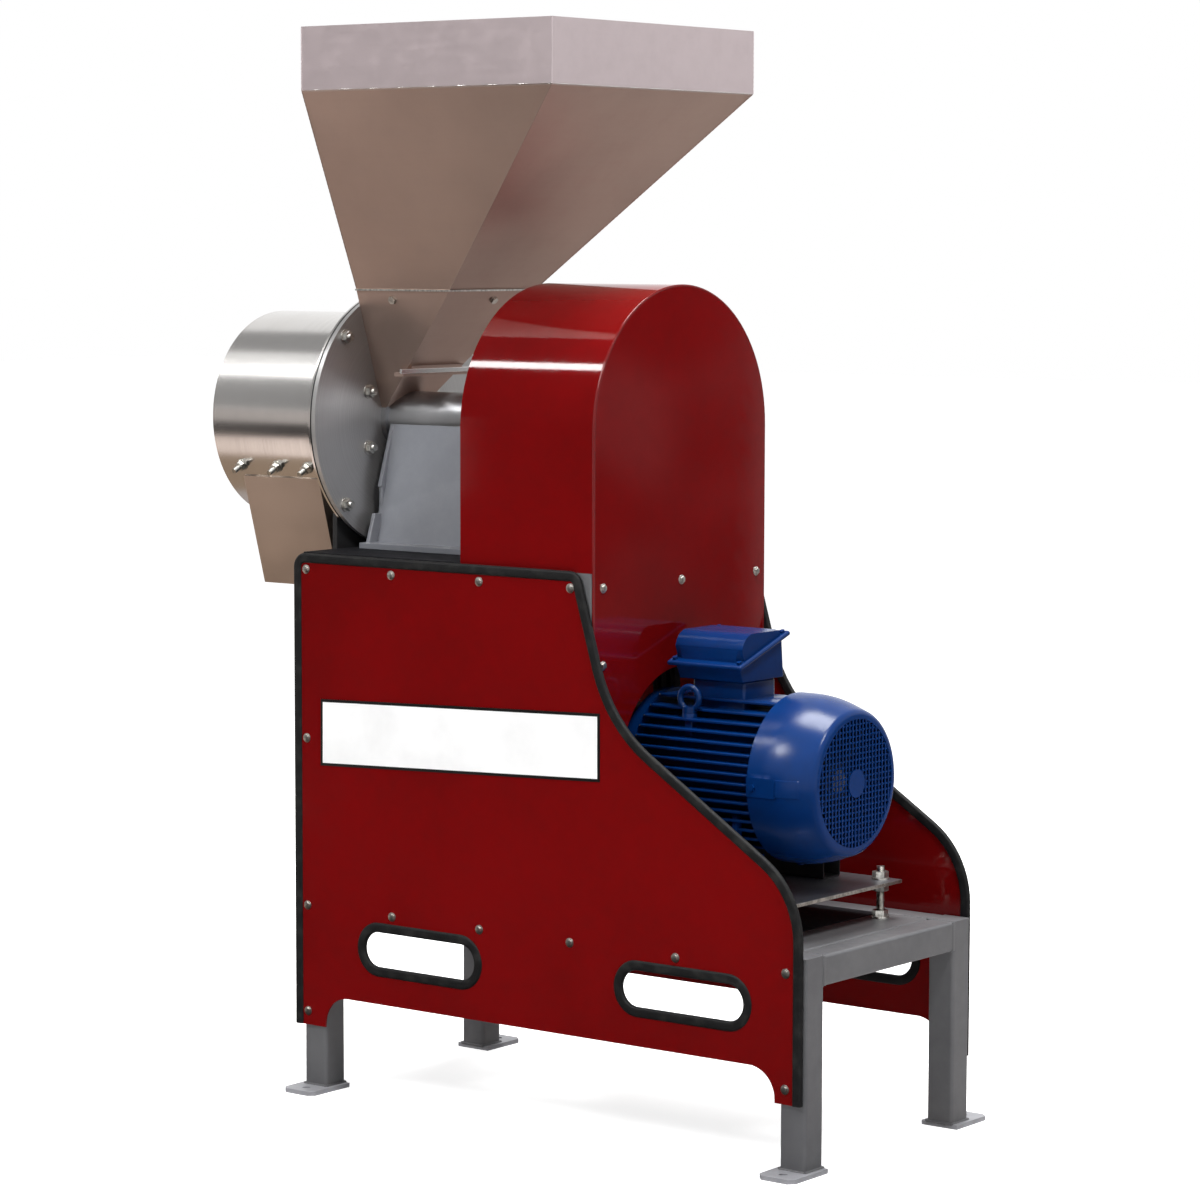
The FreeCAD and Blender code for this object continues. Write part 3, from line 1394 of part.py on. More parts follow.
motor_seat = s.motor_bearing_dia / 2 + s.seat_gap
shield_hole = s.motor_shaft_dia / 2 + 1
shield_r = s.cowl_dia / 2 - s.shield_gap
nose_x = s.motor_shoulder + s.shield_recess
cone_x = nose_x + s.shield_cone
node("drive_end_shield", turned("drive_end_shield", [
    (nose_x, shield_hole),
    (nose_x, s.shield_nose / 2),
    (cone_x, s.shield_nose / 2 + s.shield_nose_rise),
    (cone_x + s.shield_rim, shield_r),
    (s.frame_start, shield_r),
    (s.frame_start, motor_seat),
    (s.frame_start - s.motor_bearing_width, motor_seat),
    (s.frame_start - s.motor_bearing_width, shield_hole),
], s.motor_z))
rear_seat = s.frame_stop + s.motor_bearing_width
rear_stop = rear_seat + s.shield_web
node("rear_end_shield", turned("rear_end_shield", [
    (s.frame_stop, motor_seat),
    (s.frame_stop, shield_r),
    (s.frame_stop + s.rear_rim, shield_r),
    (rear_stop, s.shield_nose / 2),
    (rear_stop, shield_hole),
    (rear_seat, shield_hole),
    (rear_seat, motor_seat),
], s.motor_z))
motor_run = s.motor_shaft_dia / 2 + s.run_gap
node("motor_bearings", group("motor_bearing_pair", [
    bearing("motor_bearing", x, motor_run, s.motor_bearing_dia / 2, s.motor_bearing_width, s.motor_z)
    for x in (s.frame_start - s.motor_bearing_width, s.frame_stop)
]))

# Fan cover: a domed cowl whose end is a square grille

cowl_r = s.cowl_dia / 2
grille_r = s.grille_dia / 2
lip_r = grille_r + s.cowl_lip
grille_back = s.motor_end - s.grille_deep * 2
cowl_shell = turned("cowl", [
    (s.cowl_start, cowl_r - s.cowl_wall),
    (s.cowl_start, cowl_r),
    (s.cowl_shoulder, cowl_r, s.cowl_bend),
    (s.motor_end, lip_r, s.cowl_round),
    (s.motor_end, grille_r),
    (grille_back, grille_r),
    (grille_back, grille_r + s.cowl_wall),
    (s.motor_end - s.cowl_wall * 2, lip_r - s.cowl_wall * 2),
    (s.cowl_shoulder - s.cowl_wall, cowl_r - s.cowl_wall, s.cowl_bend - s.cowl_wall),
], s.motor_z)
flat_x = (s.cowl_start, s.cowl_start + s.cowl_flat_long)
flat_z = (s.motor_z - s.cowl_flat / 2, s.motor_z + s.cowl_flat / 2)
flat_out = cowl_r + s.cowl_flat_high
flat_in = cowl_r - s.cowl_wall
cowl = fuse("cowl_pressing", [
    cowl_shell,
    block("near_flat", flat_x, (-flat_out, -flat_in), flat_z),
    block("far_flat", flat_x, (flat_in, flat_out), flat_z),
])
cowl_seat_x = s.cowl_start + s.cowl_screw_in
cowl_spots = []
for angle, seat_r in ((0, flat_out), (180, flat_out), (270, cowl_r)):
    out = Vector(0, math.cos(math.radians(angle)), math.sin(math.radians(angle)))
    seat = Vector(num(cowl_seat_x), 0, num(s.motor_z)) + out * num(seat_r)
    cowl_spots.append(Placement(seat, Rotation(Vector(0, 0, 1), out)))
cowl_reach = num(s.shield_gap)
cowl_drill = doc.addObject("Part::Feature", "cowl_drills")
cowl_drill.Shape = Part.makeCompound([
    Part.makeCylinder(num(screw_hole), cowl_reach * 2, Vector(0, 0, -cowl_reach)).transformed(spot.toMatrix())
    for spot in cowl_spots
])
node("fan_cover", cut("fan_cover", cowl, [cowl_drill]))
cowl_screw = bolt_solid(num(s.screw_head), num(s.screw_head_high), num(s.screw_dia) / 2, cowl_reach)
scatter("fan_cover_screws", [(cowl_screw, spot) for spot in cowl_spots])
half_count = int(num(grille_r - s.grille_bar) / num(s.grille_pitch))
bars = []
bar_mid = s.motor_end - s.grille_deep
bar_x = [(grille_back, bar_mid), (bar_mid, s.motor_end)]
for k in range(-half_count, half_count + 1):
    far = s.grille_pitch * abs(k) + s.grille_bar / 2
    reach = root(grille_r * grille_r - far * far)
    low, high = s.grille_pitch * k - s.grille_bar / 2, s.grille_pitch * k + s.grille_bar / 2
    bars.append(block("grille_level_bar", bar_x[0], (-reach, reach), (s.motor_z + low, s.motor_z + high)))
    bars.append(block("grille_upright_bar", bar_x[1], (low, high), (s.motor_z - reach, s.motor_z + reach)))
grille_hub = rod("grille_hub", "X", (s.motor_end, 0, s.motor_z), s.grille_hub / 2, s.grille_deep)
node("fan_grille", group("fan_grille", bars + [grille_hub]))

fan = new_body("cooling_fan")
fan_profile = sketch(fan, "XZ_Plane")
fan_x = (s.fan_start, s.fan_start + s.fan_long)
motor_bore = s.motor_shaft_dia / 2 + s.seat_gap
outline(fan_profile, [
    (fan_x[0], motor_bore),
    (fan_x[1], motor_bore),
    (fan_x[1], s.fan_hub / 2),
    (fan_x[0] + s.blade_thick, s.fan_hub / 2),
    (fan_x[0] + s.blade_thick, s.fan_dia / 2),
    (fan_x[0], s.fan_dia / 2),
])
fan_spin = feature(fan, "Revolution", fan_profile)
fan_spin.ReferenceAxis = (fan_profile, ["H_Axis"])
fan_spin.Angle = 360
blade_profile = sketch(fan, "XY_Plane", -s.blade_thick / 2)
outline(blade_profile, rectangle((fan_x[0], fan_x[1]), (s.fan_hub / 2 - 4, s.fan_dia / 2)))
blade = feature(fan, "Pad", blade_profile, Length=s.blade_thick)
polar(fan, blade, 8, "X_Axis")
place(fan, 0, 0, s.motor_z)
node("cooling_fan", fan)
motor_tip = s.motor_shoulder - s.motor_shaft_out
node("motor_shaft", turned("motor_shaft", rectangle(
    (motor_tip, fan_x[1] + 4), (0, s.motor_shaft_dia / 2)), s.motor_z))
node("motor_pulley", pulley("motor_pulley", s.motor_pulley_dia, motor_bore, s.motor_z))

# Terminal box: the lid slopes down towards the near side

lid_slope = (s.lid_far_rise - s.lid_near_rise) / (s.lid_far + s.lid_near)


def lid_line(y):
    return s.motor_z + s.lid_near_rise + lid_slope * (y + s.lid_near)


box_rim = s.lid_margin / 2


def box_loop(inset):
    near, far = box_rim - s.lid_near + inset, s.lid_far - box_rim - inset
    return [
        (inset - s.box_near, box_low + inset),
        (s.box_far - inset, box_low + inset),
        (far, lid_line(far) + inset),
        (near, lid_line(near) + inset),
    ]


box_hollow = padded(
    "box_hollow", "YZ_Plane", s.box_start + s.box_wall, s.box_long - s.box_wall * 2, [box_loop(s.box_wall)])
node("terminal_box", cut("terminal_box", padded(
    "box_outer", "YZ_Plane", s.box_start, s.box_long, [box_loop(0 * s.box_wall)]), [box_hollow]))
lid_tilt = s.lid_thick * lid_slope
lid_plate = padded("lid_plate", "YZ_Plane", s.lid_start, s.lid_long, [[
    (-s.lid_near, lid_line(-s.lid_near)),
    (s.lid_far, lid_line(s.lid_far)),
    (s.lid_far - lid_tilt, lid_line(s.lid_far) + s.lid_thick),
    (-s.lid_near - lid_tilt, lid_line(-s.lid_near) + s.lid_thick),
]])
dome_near = s.lid_margin * 0.7 - s.lid_near
dome_far = s.lid_far - s.lid_margin * 0.7
dome_top = s.motor_z + s.lid_top_rise
lid_hump = padded("lid_hump", "YZ_Plane", s.lid_start + s.lid_inset, s.lid_long - s.lid_inset * 2, [[
    (dome_near, lid_line(dome_near) + s.lid_thick / 2),
    (dome_far, lid_line(dome_far) + s.lid_thick / 2),
    (dome_far, dome_top, s.lid_thick / 2),
    (dome_near, dome_top, s.lid_bend),
]])
lid_turn = Rotation(Vector(1, 0, 0), math.degrees(math.atan(num(lid_slope))))
lid_rise = s.lid_thick * (1 + lid_slope * lid_slope)
lid_screw = bolt_solid(
    num(s.lid_screw), num(s.lid_screw) * 0.5, num(s.lid_screw) * 0.3, num(s.lid_thick) * 0.8)
lid_spots = []
for x in (s.lid_start + s.lid_margin / 2, s.lid_start + s.lid_long - s.lid_margin / 2):
    for y in (s.lid_margin / 2 - s.lid_near, s.lid_far - s.lid_margin / 2):
        lid_spots.append(Vector(num(x), num(y), num(lid_line(y) + lid_rise)))
drill_reach = num(s.lid_thick) * 3
pocket_reach = num(s.lid_top_rise - s.lid_near_rise)
lid_tools = doc.addObject("Part::Feature", "lid_tools")
lid_tools.Shape = Part.makeCompound([
    Part.makeCylinder(num(s.lid_screw) * 0.3 + num(s.run_gap), drill_reach * 2, Vector(0, 0, -drill_reach)).fuse(
        Part.makeCylinder(num(s.lid_pocket), pocket_reach)).transformed(Placement(spot, lid_turn).toMatrix())
    for spot in lid_spots
])
node("terminal_lid", cut("terminal_lid", fuse("lid_casting", [lid_plate, lid_hump]), [lid_tools]))
scatter("lid_screws", [(lid_screw, Placement(spot, lid_turn)) for spot in lid_spots])

eye_tool = doc.addObject("Part::Torus", "eye_ring")
eye_tool.Placement = Placement(Vector(), Rotation(Vector(1, 0, 0), 90))
bind(eye_tool, Radius1=(s.eye_ring + s.eye_wire) / 2, Radius2=s.eye_wire / 2)
place(eye_tool, s.eye_x, s.eye_y, eye_z)
node("lifting_eye", fuse("lifting_eye", [
    eye_tool,
    rod("eye_collar", "Z", (s.eye_x, s.eye_y, eye_foot), s.eye_boss / 2, s.eye_wire),
]))

doc.recompute()
failed = [item.Name for item in doc.Objects if {"Invalid", "Error"} & set(item.State)]
if failed:
    raise RuntimeError(f"objects that did not build: {failed}")
for name, item in nodes.items():
    shape = item.Shape
    if shape.isNull() or not shape.isValid() or not shape.Solids:
        raise RuntimeError(f"{name} has no valid solid")

os.makedirs("parts", exist_ok=True)
for name, item in nodes.items():
    item.Shape.exportStep(f"parts/{name}.step")
print(len(nodes), "nodes written")
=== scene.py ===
import bmesh
import bpy
import json
import math
from mathutils import Matrix, Vector
from mathutils.bvhtree import BVHTree


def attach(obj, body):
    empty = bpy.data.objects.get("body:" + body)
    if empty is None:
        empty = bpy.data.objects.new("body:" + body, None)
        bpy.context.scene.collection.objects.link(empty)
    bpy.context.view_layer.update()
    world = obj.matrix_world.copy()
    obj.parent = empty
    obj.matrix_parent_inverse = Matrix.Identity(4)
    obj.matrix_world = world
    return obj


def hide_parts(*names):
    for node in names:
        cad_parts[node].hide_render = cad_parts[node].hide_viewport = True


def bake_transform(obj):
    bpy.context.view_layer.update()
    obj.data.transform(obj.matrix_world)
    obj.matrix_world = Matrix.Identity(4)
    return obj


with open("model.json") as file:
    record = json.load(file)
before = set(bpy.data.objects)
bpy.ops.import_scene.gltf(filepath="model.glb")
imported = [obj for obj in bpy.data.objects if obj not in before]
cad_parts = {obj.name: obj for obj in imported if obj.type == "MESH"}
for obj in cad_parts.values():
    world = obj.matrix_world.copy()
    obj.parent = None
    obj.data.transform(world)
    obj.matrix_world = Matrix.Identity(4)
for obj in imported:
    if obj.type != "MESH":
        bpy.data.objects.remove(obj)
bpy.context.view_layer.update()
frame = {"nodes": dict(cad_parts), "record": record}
nodes = frame["nodes"]
mm = 0.001
scene = bpy.context.scene
print("frame loaded:", len(nodes), "nodes")

# places that several pieces share, in millimetres

shaftLevel = 1162.0
deckLevel = 350.0
foldLevel = 1726.0
panelFace = 247.0
guardFace = 105.5

# camera

camera = {"place": (3.9005, -5.1447, 1.4761), "turn": 37.636, "tilt": 5.372, "roll": 0.130, "lens": 115.0}


def placeCamera(spec):
    lens = bpy.data.cameras.new("camera")
    lens.lens = spec["lens"]
    lens.sensor_width = 36
    lens.clip_end = 60
    body = bpy.data.objects.new("camera", lens)
    look = Matrix.Rotation(math.radians(spec["turn"]), 4, "Z")
    look @= Matrix.Rotation(math.radians(90 - spec["tilt"]), 4, "X")
    look @= Matrix.Rotation(math.radians(spec["roll"]), 4, "Z")
    body.matrix_world = Matrix.Translation(spec["place"]) @ look
    scene.collection.objects.link(body)
    scene.camera = body


placeCamera(camera)
print("camera set")

# finishes


class Link:
    # a socket that can be used in sums

    def __init__(self, finish, socket):
        self.finish = finish
        self.socket = socket

    def sum(self, operation, first, second):
        return self.finish.node("Math", {"operation": operation}, {0: first, 1: second})

    def __add__(self, other):
        return self.sum("ADD", self, other)

    def __radd__(self, other):
        return self.sum("ADD", other, self)

    def __mul__(self, other):
        return self.sum("MULTIPLY", self, other)

    def __rmul__(self, other):
        return self.sum("MULTIPLY", other, self)


class Finish:
    # a material, or the world, with the nodes that feed its shader

    def __init__(self, name, owner=None, **values):
        self.material = owner or bpy.data.materials.new(name)
        self.material.use_nodes = True
        self.tree = self.material.node_tree
        self.shader = self.tree.nodes.get("Principled BSDF") or self.tree.nodes["Background"]
        self.place = None if owner else self.node("TexCoord", out="Object")
        self.set(**values)

    def feed(self, socket, value):
        if isinstance(value, Link):
            self.tree.links.new(value.socket, socket)
        elif isinstance(value, tuple) and len(value) == 3 and socket.type == "RGBA":
            socket.default_value = (*value, 1)
        else:
            socket.default_value = value

    def set(self, **values):
        for name, value in values.items():
            words = "".join(" " + c if c.isupper() else c for c in name).title().replace("Ior", "IOR")
            self.feed(self.shader.inputs[words], value)

    def node(self, kind, settings={}, inputs={}, out=0):
        node = self.tree.nodes.new("ShaderNode" + kind)
        for name, value in settings.items():
            setattr(node, name, value)
        for name, value in inputs.items():
            self.feed(node.inputs[name], value)
        return Link(self, node.outputs[out])

    def noise(self, scale, detail=4.0, stretch=(1, 1, 1), rough=0.5):
        spot = self.node("Mapping", {}, {"Vector": self.place, "Scale": stretch})
        return self.node("TexNoise", {}, {
            "Vector": spot, "Scale": scale, "Detail": detail, "Roughness": rough})

    def cells(self, scale):
        return self.node("TexVoronoi", {}, {"Vector": self.place, "Scale": scale})

    def axis(self, name):
        return self.node("SeparateXYZ", {}, {"Vector": self.place}, name)

    def steps(self, value, low, high):
        return self.node("MapRange", {"interpolation_type": "SMOOTHSTEP"}, {
            "Value": value, "From Min": low, "From Max": high})

    def mix(self, amount, first, second):
        return self.node("Mix", {"data_type": "RGBA"}, {"Factor": amount, 6: first, 7: second}, 2)

    def bump(self, height, strength, reach=0.001):
        self.set(normal=self.node("Bump", {}, {"Height": height, "Strength": strength, "Distance": reach}))


def tone(red, green, blue):
    # colour picker values to linear light
    return tuple(c / 3294.6 if c < 10.3 else ((c / 255 + 0.055) / 1.055) ** 2.4 for c in (red, green, blue))


def paint(name, base, shade, roughness, grain, depth, shine=0.5, haze=0.1):
    # sprayed paint: slow colour drift, orange peel and dust
    finish = Finish(name, specularIorLevel=shine)
    drift = finish.noise(3.0, 3.0)
    dust = finish.noise(38.0, 6.0, rough=0.65)
    finish.set(baseColor=finish.mix(finish.steps(drift * 0.7 + dust * 0.3, 0.35, 0.68), base, shade))
    finish.set(roughness=finish.steps(dust, 0.3, 0.8) * haze + roughness)
    finish.bump(finish.noise(grain, 2.0) + finish.noise(grain * 0.16, 2.0) * 0.5, depth)
    return finish


def rubber(name, base, worn):
    # grained black rubber
    finish = Finish(name, specularIorLevel=0.16)
    grain = finish.cells(520.0)
    dust = finish.noise(45.0, 5.0)
    finish.set(baseColor=finish.mix(finish.steps(dust, 0.45, 0.75), base, worn))
    finish.set(roughness=finish.steps(dust, 0.3, 0.7) * 0.2 + 0.42)
    finish.bump(grain + finish.noise(900.0, 2.0) * 0.4, 0.6, 0.0006)
    return finish


def brushed(name, bright, dull, roughness, stretch, patch=2.2):
    # sheet metal with brush lines and hand marks
    finish = Finish(name, metallic=1.0)
    lines = finish.noise(2.0, 3.0, stretch)
    marks = finish.noise(patch, 3.0, rough=0.45)
    finish.set(baseColor=finish.mix(finish.steps(marks * 0.8 + lines * 0.2, 0.30, 0.72), bright, dull))
    finish.set(roughness=lines * 0.1 + finish.steps(marks, 0.3, 0.8) * 0.1 + roughness)
    finish.bump(lines, 0.06, 0.0003)
    return finish


def hopperSheet(name, rim, taper, shade, fold):
    # rolled stainless: greyer upright rim; below the fold a warmer tone, a painted reflection of the brown
    # floor
    finish = Finish(name, metallic=0.8)
    lines = finish.noise(2.0, 3.0, (4, 4, 90))
    marks = finish.noise(2.6, 3.0, rough=0.45)
    grime = finish.noise(30.0, 5.0, rough=0.6)
    below = finish.steps(finish.axis("Z"), fold + 0.002, fold - 0.004)
    # painted reflection: below the fold the sheet takes warm floor-coloured tones
    warmFloorReflection = finish.mix(finish.steps(marks, 0.32, 0.7), taper, shade)
    smudge = finish.steps(marks * 0.7 + grime * 0.3, 0.35, 0.75)
    cool = finish.mix(smudge, rim, tuple(c * 0.9 for c in rim))
    finish.set(baseColor=finish.mix(below, cool, warmFloorReflection))
    finish.set(roughness=lines * 0.08 + finish.steps(grime, 0.4, 0.8) * 0.07 + 0.36)
    finish.bump(lines, 0.05, 0.0003)
    return finish


def turned(name, bright, dull, roughness, centre, metallic=1.0):
    # face turned on a lathe: fine rings about an axis along X
    finish = Finish(name, metallic=metallic)
    spot = finish.node("Mapping", {}, {
        "Vector": finish.place, "Location": tuple(-c for c in centre), "Scale": (0, 1, 1)})
    reach = finish.node("VectorMath", {"operation": "LENGTH"}, {0: spot}, "Value")
    along = finish.node("CombineXYZ", {}, {"X": reach})
    rings = finish.node("TexNoise", {}, {"Vector": along, "Scale": 420.0, "Detail": 3.0})
    marks = finish.noise(4.0, 3.0)
    finish.set(baseColor=finish.mix(finish.steps(marks * 0.6 + rings * 0.4, 0.32, 0.68), bright, dull))
    finish.set(roughness=rings * 0.12 + marks * 0.08 + roughness)
    finish.bump(rings, 0.08, 0.0003)
    return finish


def plated(name, bright, dull, roughness):
    # zinc plate with a faint bloom
    finish = Finish(name, metallic=1.0)
    bloom = finish.noise(160.0, 4.0)
    finish.set(baseColor=finish.mix(finish.steps(bloom, 0.35, 0.7), bright, dull))
    finish.set(roughness=bloom * 0.2 + roughness)
    finish.bump(finish.noise(700.0, 2.0), 0.08, 0.0003)
    return finish


def labelFace(name, base, shade):
    # printed sheet with a faint roll mark
    finish = Finish(name, roughness=0.35, specularIorLevel=0.3)
    finish.set(baseColor=finish.mix(finish.steps(finish.noise(9.0, 4.0), 0.4, 0.75), base, shade))
    finish.bump(finish.noise(300.0, 2.0), 0.03)
    return finish


shaftLine = (0.0, 0.0, shaftLevel * mm)
finishes = {
    "frame_grey": paint("framePaint", tone(105, 105, 107), tone(91, 91, 94), 0.34, 420.0, 0.08, 0.45),
    "red_paint": paint("redEnamel", tone(115, 8, 10), tone(102, 8, 9), 0.05, 240.0, 0.02, 0.42, 0.05),
    "edge_rubber": rubber("edgeRubber", tone(24, 24, 25), tone(38, 38, 37)),
    "zinc": plated("zincPlate", tone(214, 212, 206), tone(160, 158, 152), 0.22),
    "pedestal_grey": paint(
        "pedestalPaint", tone(144, 146, 152), tone(130, 133, 140), 0.30, 380.0, 0.06, 0.5),
    "machined_steel": turned("machinedSteel", tone(196, 196, 198), tone(150, 151, 154), 0.20, shaftLine),
    "drum_stainless": brushed("drumStainless", tone(236, 234, 232), tone(216, 213, 210), 0.10, (260, 3, 3)),
    "black_paint": paint("blackPaint", tone(26, 26, 27), tone(38, 38, 39), 0.40, 360.0, 0.10),
    # the taper tones are warmer than the rim: a painted reflection of the floor on the tapers
    "hopper_stainless": hopperSheet(
        "hopperStainless", tone(200, 186, 188), tone(186, 162, 150), tone(172, 149, 138), foldLevel * mm),
    "hard_steel": brushed("hardSteel", tone(150, 150, 152), tone(118, 118, 120), 0.34, (40, 40, 40)),
    "pulley_iron": turned("pulleyIron", tone(92, 92, 94), tone(64, 64, 66), 0.38, shaftLine),
    "belt_rubber": rubber("beltRubber", tone(24, 24, 25), tone(44, 43, 42)),
    "plate_grey": brushed("plateSteel", tone(158, 158, 164), tone(132, 132, 138), 0.30, (60, 4, 4)),
    "motor_blue": paint("motorBlue", tone(3, 47, 106), tone(2, 39, 90), 0.21, 520.0, 0.06, 0.22, 0.06),
    "eye_steel": paint("eyeBlue", tone(3, 44, 97), tone(2, 36, 82), 0.21, 520.0, 0.06, 0.22, 0.06),
    "fan_plastic": rubber("fanPlastic", tone(28, 28, 30), tone(44, 44, 46)),
}
discFace = turned("discFace", tone(200, 199, 198), tone(174, 173, 172), 0.24, shaftLine, 0.8)
chuteSheet = brushed("chuteSheet", tone(198, 182, 169), tone(178, 162, 149), 0.34, (3, 3, 9), 5.0)
# near-black, dull paint: given to the top deck, and on the deck shade sheet it is a painted shadow under
# the motor plate
deckPaint = paint("deckPaint", tone(30, 30, 33), tone(22, 22, 25), 0.62, 300.0, 0.05, 0.10)
# the frame grey made lighter for the foot plates: painted light on their upward faces
footPaint = paint("footPaint", tone(160, 160, 165), tone(142, 142, 147), 0.40, 380.0, 0.08, 0.45)
labelWhite = labelFace("labelWhite", tone(250, 250, 250), tone(240, 240, 240))
labelBlack = labelFace("labelBlack", tone(16, 16, 16), tone(26, 26, 26))
slotOf = {row["node"]: row["material_slot"] for row in frame["record"]["subparts"]}
for name, node in nodes.items():
    node.data.materials.clear()
    node.data.materials.append(finishes[slotOf[name]].material)
nodes["chamber_back_plate"].data.materials[0] = discFace.material
nodes["discharge_chute"].data.materials[0] = chuteSheet.material
for name in ("lid_screws", "fan_cover_screws"):
    nodes[name].data.materials[0] = finishes["motor_blue"].material  # painted with the motor
print("finishes:", len(finishes))

# making


def newPiece(name, bm, slot, body="frame", replaced=(), sharp=35, finish=None):
    # merge, turn faces outwards and hand the mesh to the frame
    bmesh.ops.remove_doubles(bm, verts=bm.verts, dist=1e-6)
    bmesh.ops.recalc_face_normals(bm, faces=bm.faces)
    mesh = bpy.data.meshes.new(name)
    bm.to_mesh(mesh)
    bm.free()
    mesh.shade_smooth()
    mesh.set_sharp_from_angle(angle=math.radians(sharp))
    piece = bpy.data.objects.new(name, mesh)
    scene.collection.objects.link(piece)
    mesh.materials.append((finish or finishes[slot]).material)
    if body:
        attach(piece, body)
    if replaced:
        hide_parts(*replaced)
    return piece


def scaled(spec):
    # millimetres of a dictionary to metres
    return {name: value * mm for name, value in spec.items()}


def stamp(bm, mould, spots):
    # one copy of a small mould at each spot
    for spot in spots:
        mesh = bpy.data.meshes.new("mould")
        mould.to_mesh(mesh)
        mesh.transform(spot)
        bm.from_mesh(mesh)
        bpy.data.meshes.remove(mesh)
    mould.free()


def aim(place, out):
    # a spot in millimetres whose +Z looks along out
    turn = Vector(out).to_track_quat("Z", "Y").to_matrix().to_4x4()
    return Matrix.Translation(Vector(place) * mm) @ turn


def ringEdges(bm, level):
    return [e for e in bm.edges if all(abs(v.co.z - level) < 1e-6 for v in e.verts)]


def edgesOf(bm, verts):
    return [e for e in bm.edges if all(v in verts for v in e.verts)]


def parted(geom):
    # vertices and edges of what an operator made
    verts = [g for g in geom if isinstance(g, bmesh.types.BMVert)]
    edges = [g for g in geom if isinstance(g, bmesh.types.BMEdge)]
    return verts, edges


def drawOn(bm, edges, step):
    # extrude a loop of edges and move it by a step
    verts, edges = parted(bmesh.ops.extrude_edge_only(bm, edges=edges)["geom"])
    bmesh.ops.translate(bm, vec=step, verts=verts)
    return verts, edges


def around(points):
    # each point with the next one, closed
    return zip(points, points[1:] + points[:1])


def roundEdges(bm, edges, offset, segments=2):
    bmesh.ops.bevel(
        bm, geom=edges, offset=offset, segments=segments, profile=0.5, affect="EDGES", material=-1,
        clamp_overlap=True)


def disc(bm, low, high, radius, segments=24, bevel=0.0):
    # a round washer or boss between two levels
    bmesh.ops.create_cone(
        bm, cap_ends=True, segments=segments, radius1=radius, radius2=radius, depth=high - low,
        matrix=Matrix.Translation((0, 0, (low + high) / 2)))
    if bevel:
        roundEdges(bm, ringEdges(bm, high), bevel)


def hexNut(bm, low, high, across):
    # a hexagon with the rim of its outer end broken
    corner = across / math.sqrt(3)
    bmesh.ops.create_cone(
        bm, cap_ends=True, segments=6, radius1=corner, radius2=corner, depth=high - low,
        matrix=Matrix.Translation((0, 0, (low + high) / 2)))
    roundEdges(bm, ringEdges(bm, high), (high - low) * 0.16)


def threadedRod(bm, low, high, radius, pitch):
    # ridges drawn up one half pitch at a time
    root = 0.86  # share of the radius at the bottom of the thread
    made = bmesh.ops.create_circle(
        bm, cap_ends=True, segments=14, radius=radius * root, matrix=Matrix.Translation((0, 0, low)))
    edges = edgesOf(bm, made["verts"])
    steps = max(2, int((high - low) / pitch * 2))
    for k in range(steps):
        verts, edges = drawOn(bm, edges, (0, 0, (high - low) / steps))
        swell = 1 / root if k % 2 == 0 else root
        bmesh.ops.scale(bm, vec=(swell, swell, 1), verts=verts)
    bmesh.ops.contextual_create(bm, geom=edges)


def slab(bm, low, high, bevel=0.0, segments=2):
    # a box in millimetres with rounded edges
    size = [(b - a) * mm for a, b in zip(low, high)]
    middle = [(a + b) / 2 * mm for a, b in zip(low, high)]
    made = bmesh.ops.create_cube(
        bm, size=1.0, matrix=Matrix.Translation(middle) @ Matrix.Diagonal((*size, 1)))
    if bevel:
        roundEdges(bm, edgesOf(bm, made["verts"]), bevel * mm, segments)


def softened(name, width, body="frame", finish=None):
    # a copy of a plate or casting with its sharp edges broken
    bm = bmesh.new()
    bm.from_mesh(nodes[name].data)
    bmesh.ops.remove_doubles(bm, verts=bm.verts, dist=2e-5)
    bmesh.ops.dissolve_limit(bm, angle_limit=math.radians(0.6), verts=bm.verts, edges=bm.edges)
    words = name.split("_")
    title = words[0] + "".join(w.title() for w in words[1:])
    piece = newPiece(title, bm, slotOf[name], body, [name], finish=finish)
    edge = piece.modifiers.new("edge", "BEVEL")
    edge.width = width * mm
    edge.segments = 2
    edge.limit_method = "ANGLE"
    edge.angle_limit = math.radians(35)
    edge.use_clamp_overlap = True
    edge.harden_normals = True
    return piece


def weldBead(bm, start, end, radius, step=3.2):
    # a rippled bead between two points in millimetres
    ripple = 1.22
    start, end = Vector(start) * mm, Vector(end) * mm
    run = end - start
    turn = run.to_track_quat("Z", "Y").to_matrix().to_4x4()
    made = bmesh.ops.create_circle(
        bm, cap_ends=True, segments=8, radius=radius * mm * 0.8, matrix=Matrix.Translation(start) @ turn)
    edges = edgesOf(bm, made["verts"])
    count = max(2, int(run.length / (step * mm)))
    for k in range(count):
        verts, edges = drawOn(bm, edges, run / count)
        swell = ripple if k % 2 == 0 else 1 / ripple
        middle = sum((v.co for v in verts), Vector()) / len(verts)
        bmesh.ops.scale(bm, vec=(swell,) * 3, space=Matrix.Translation(-middle), verts=verts)
    bmesh.ops.contextual_create(bm, geom=edges)


def edgeRoute(corners):
    # straight runs and bends of an outline of (x, z) or (x, z, radius) corners
    points = [Vector((c[0], c[1])) for c in corners]
    moves, here = [], points[0]
    for i in range(1, len(corners)):
        if len(corners[i]) == 2:
            moves.append(("go", points[i] - here))
            here = points[i]
            continue
        radius = corners[i][2]
        back = (points[i - 1] - points[i]).normalized()
        ahead = (points[i + 1] - points[i]).normalized()
        half = back.angle(ahead) / 2
        enter = points[i] + back * (radius / math.tan(half))
        leave = points[i] + ahead * (radius / math.tan(half))
        centre = points[i] + (back + ahead).normalized() * (radius / math.sin(half))
        moves.append(("go", enter - here))
        side = 1 if back.cross(ahead) > 0 else -1
        moves.append(("bend", centre, side * (math.pi - 2 * half)))
        here = leave
    return moves


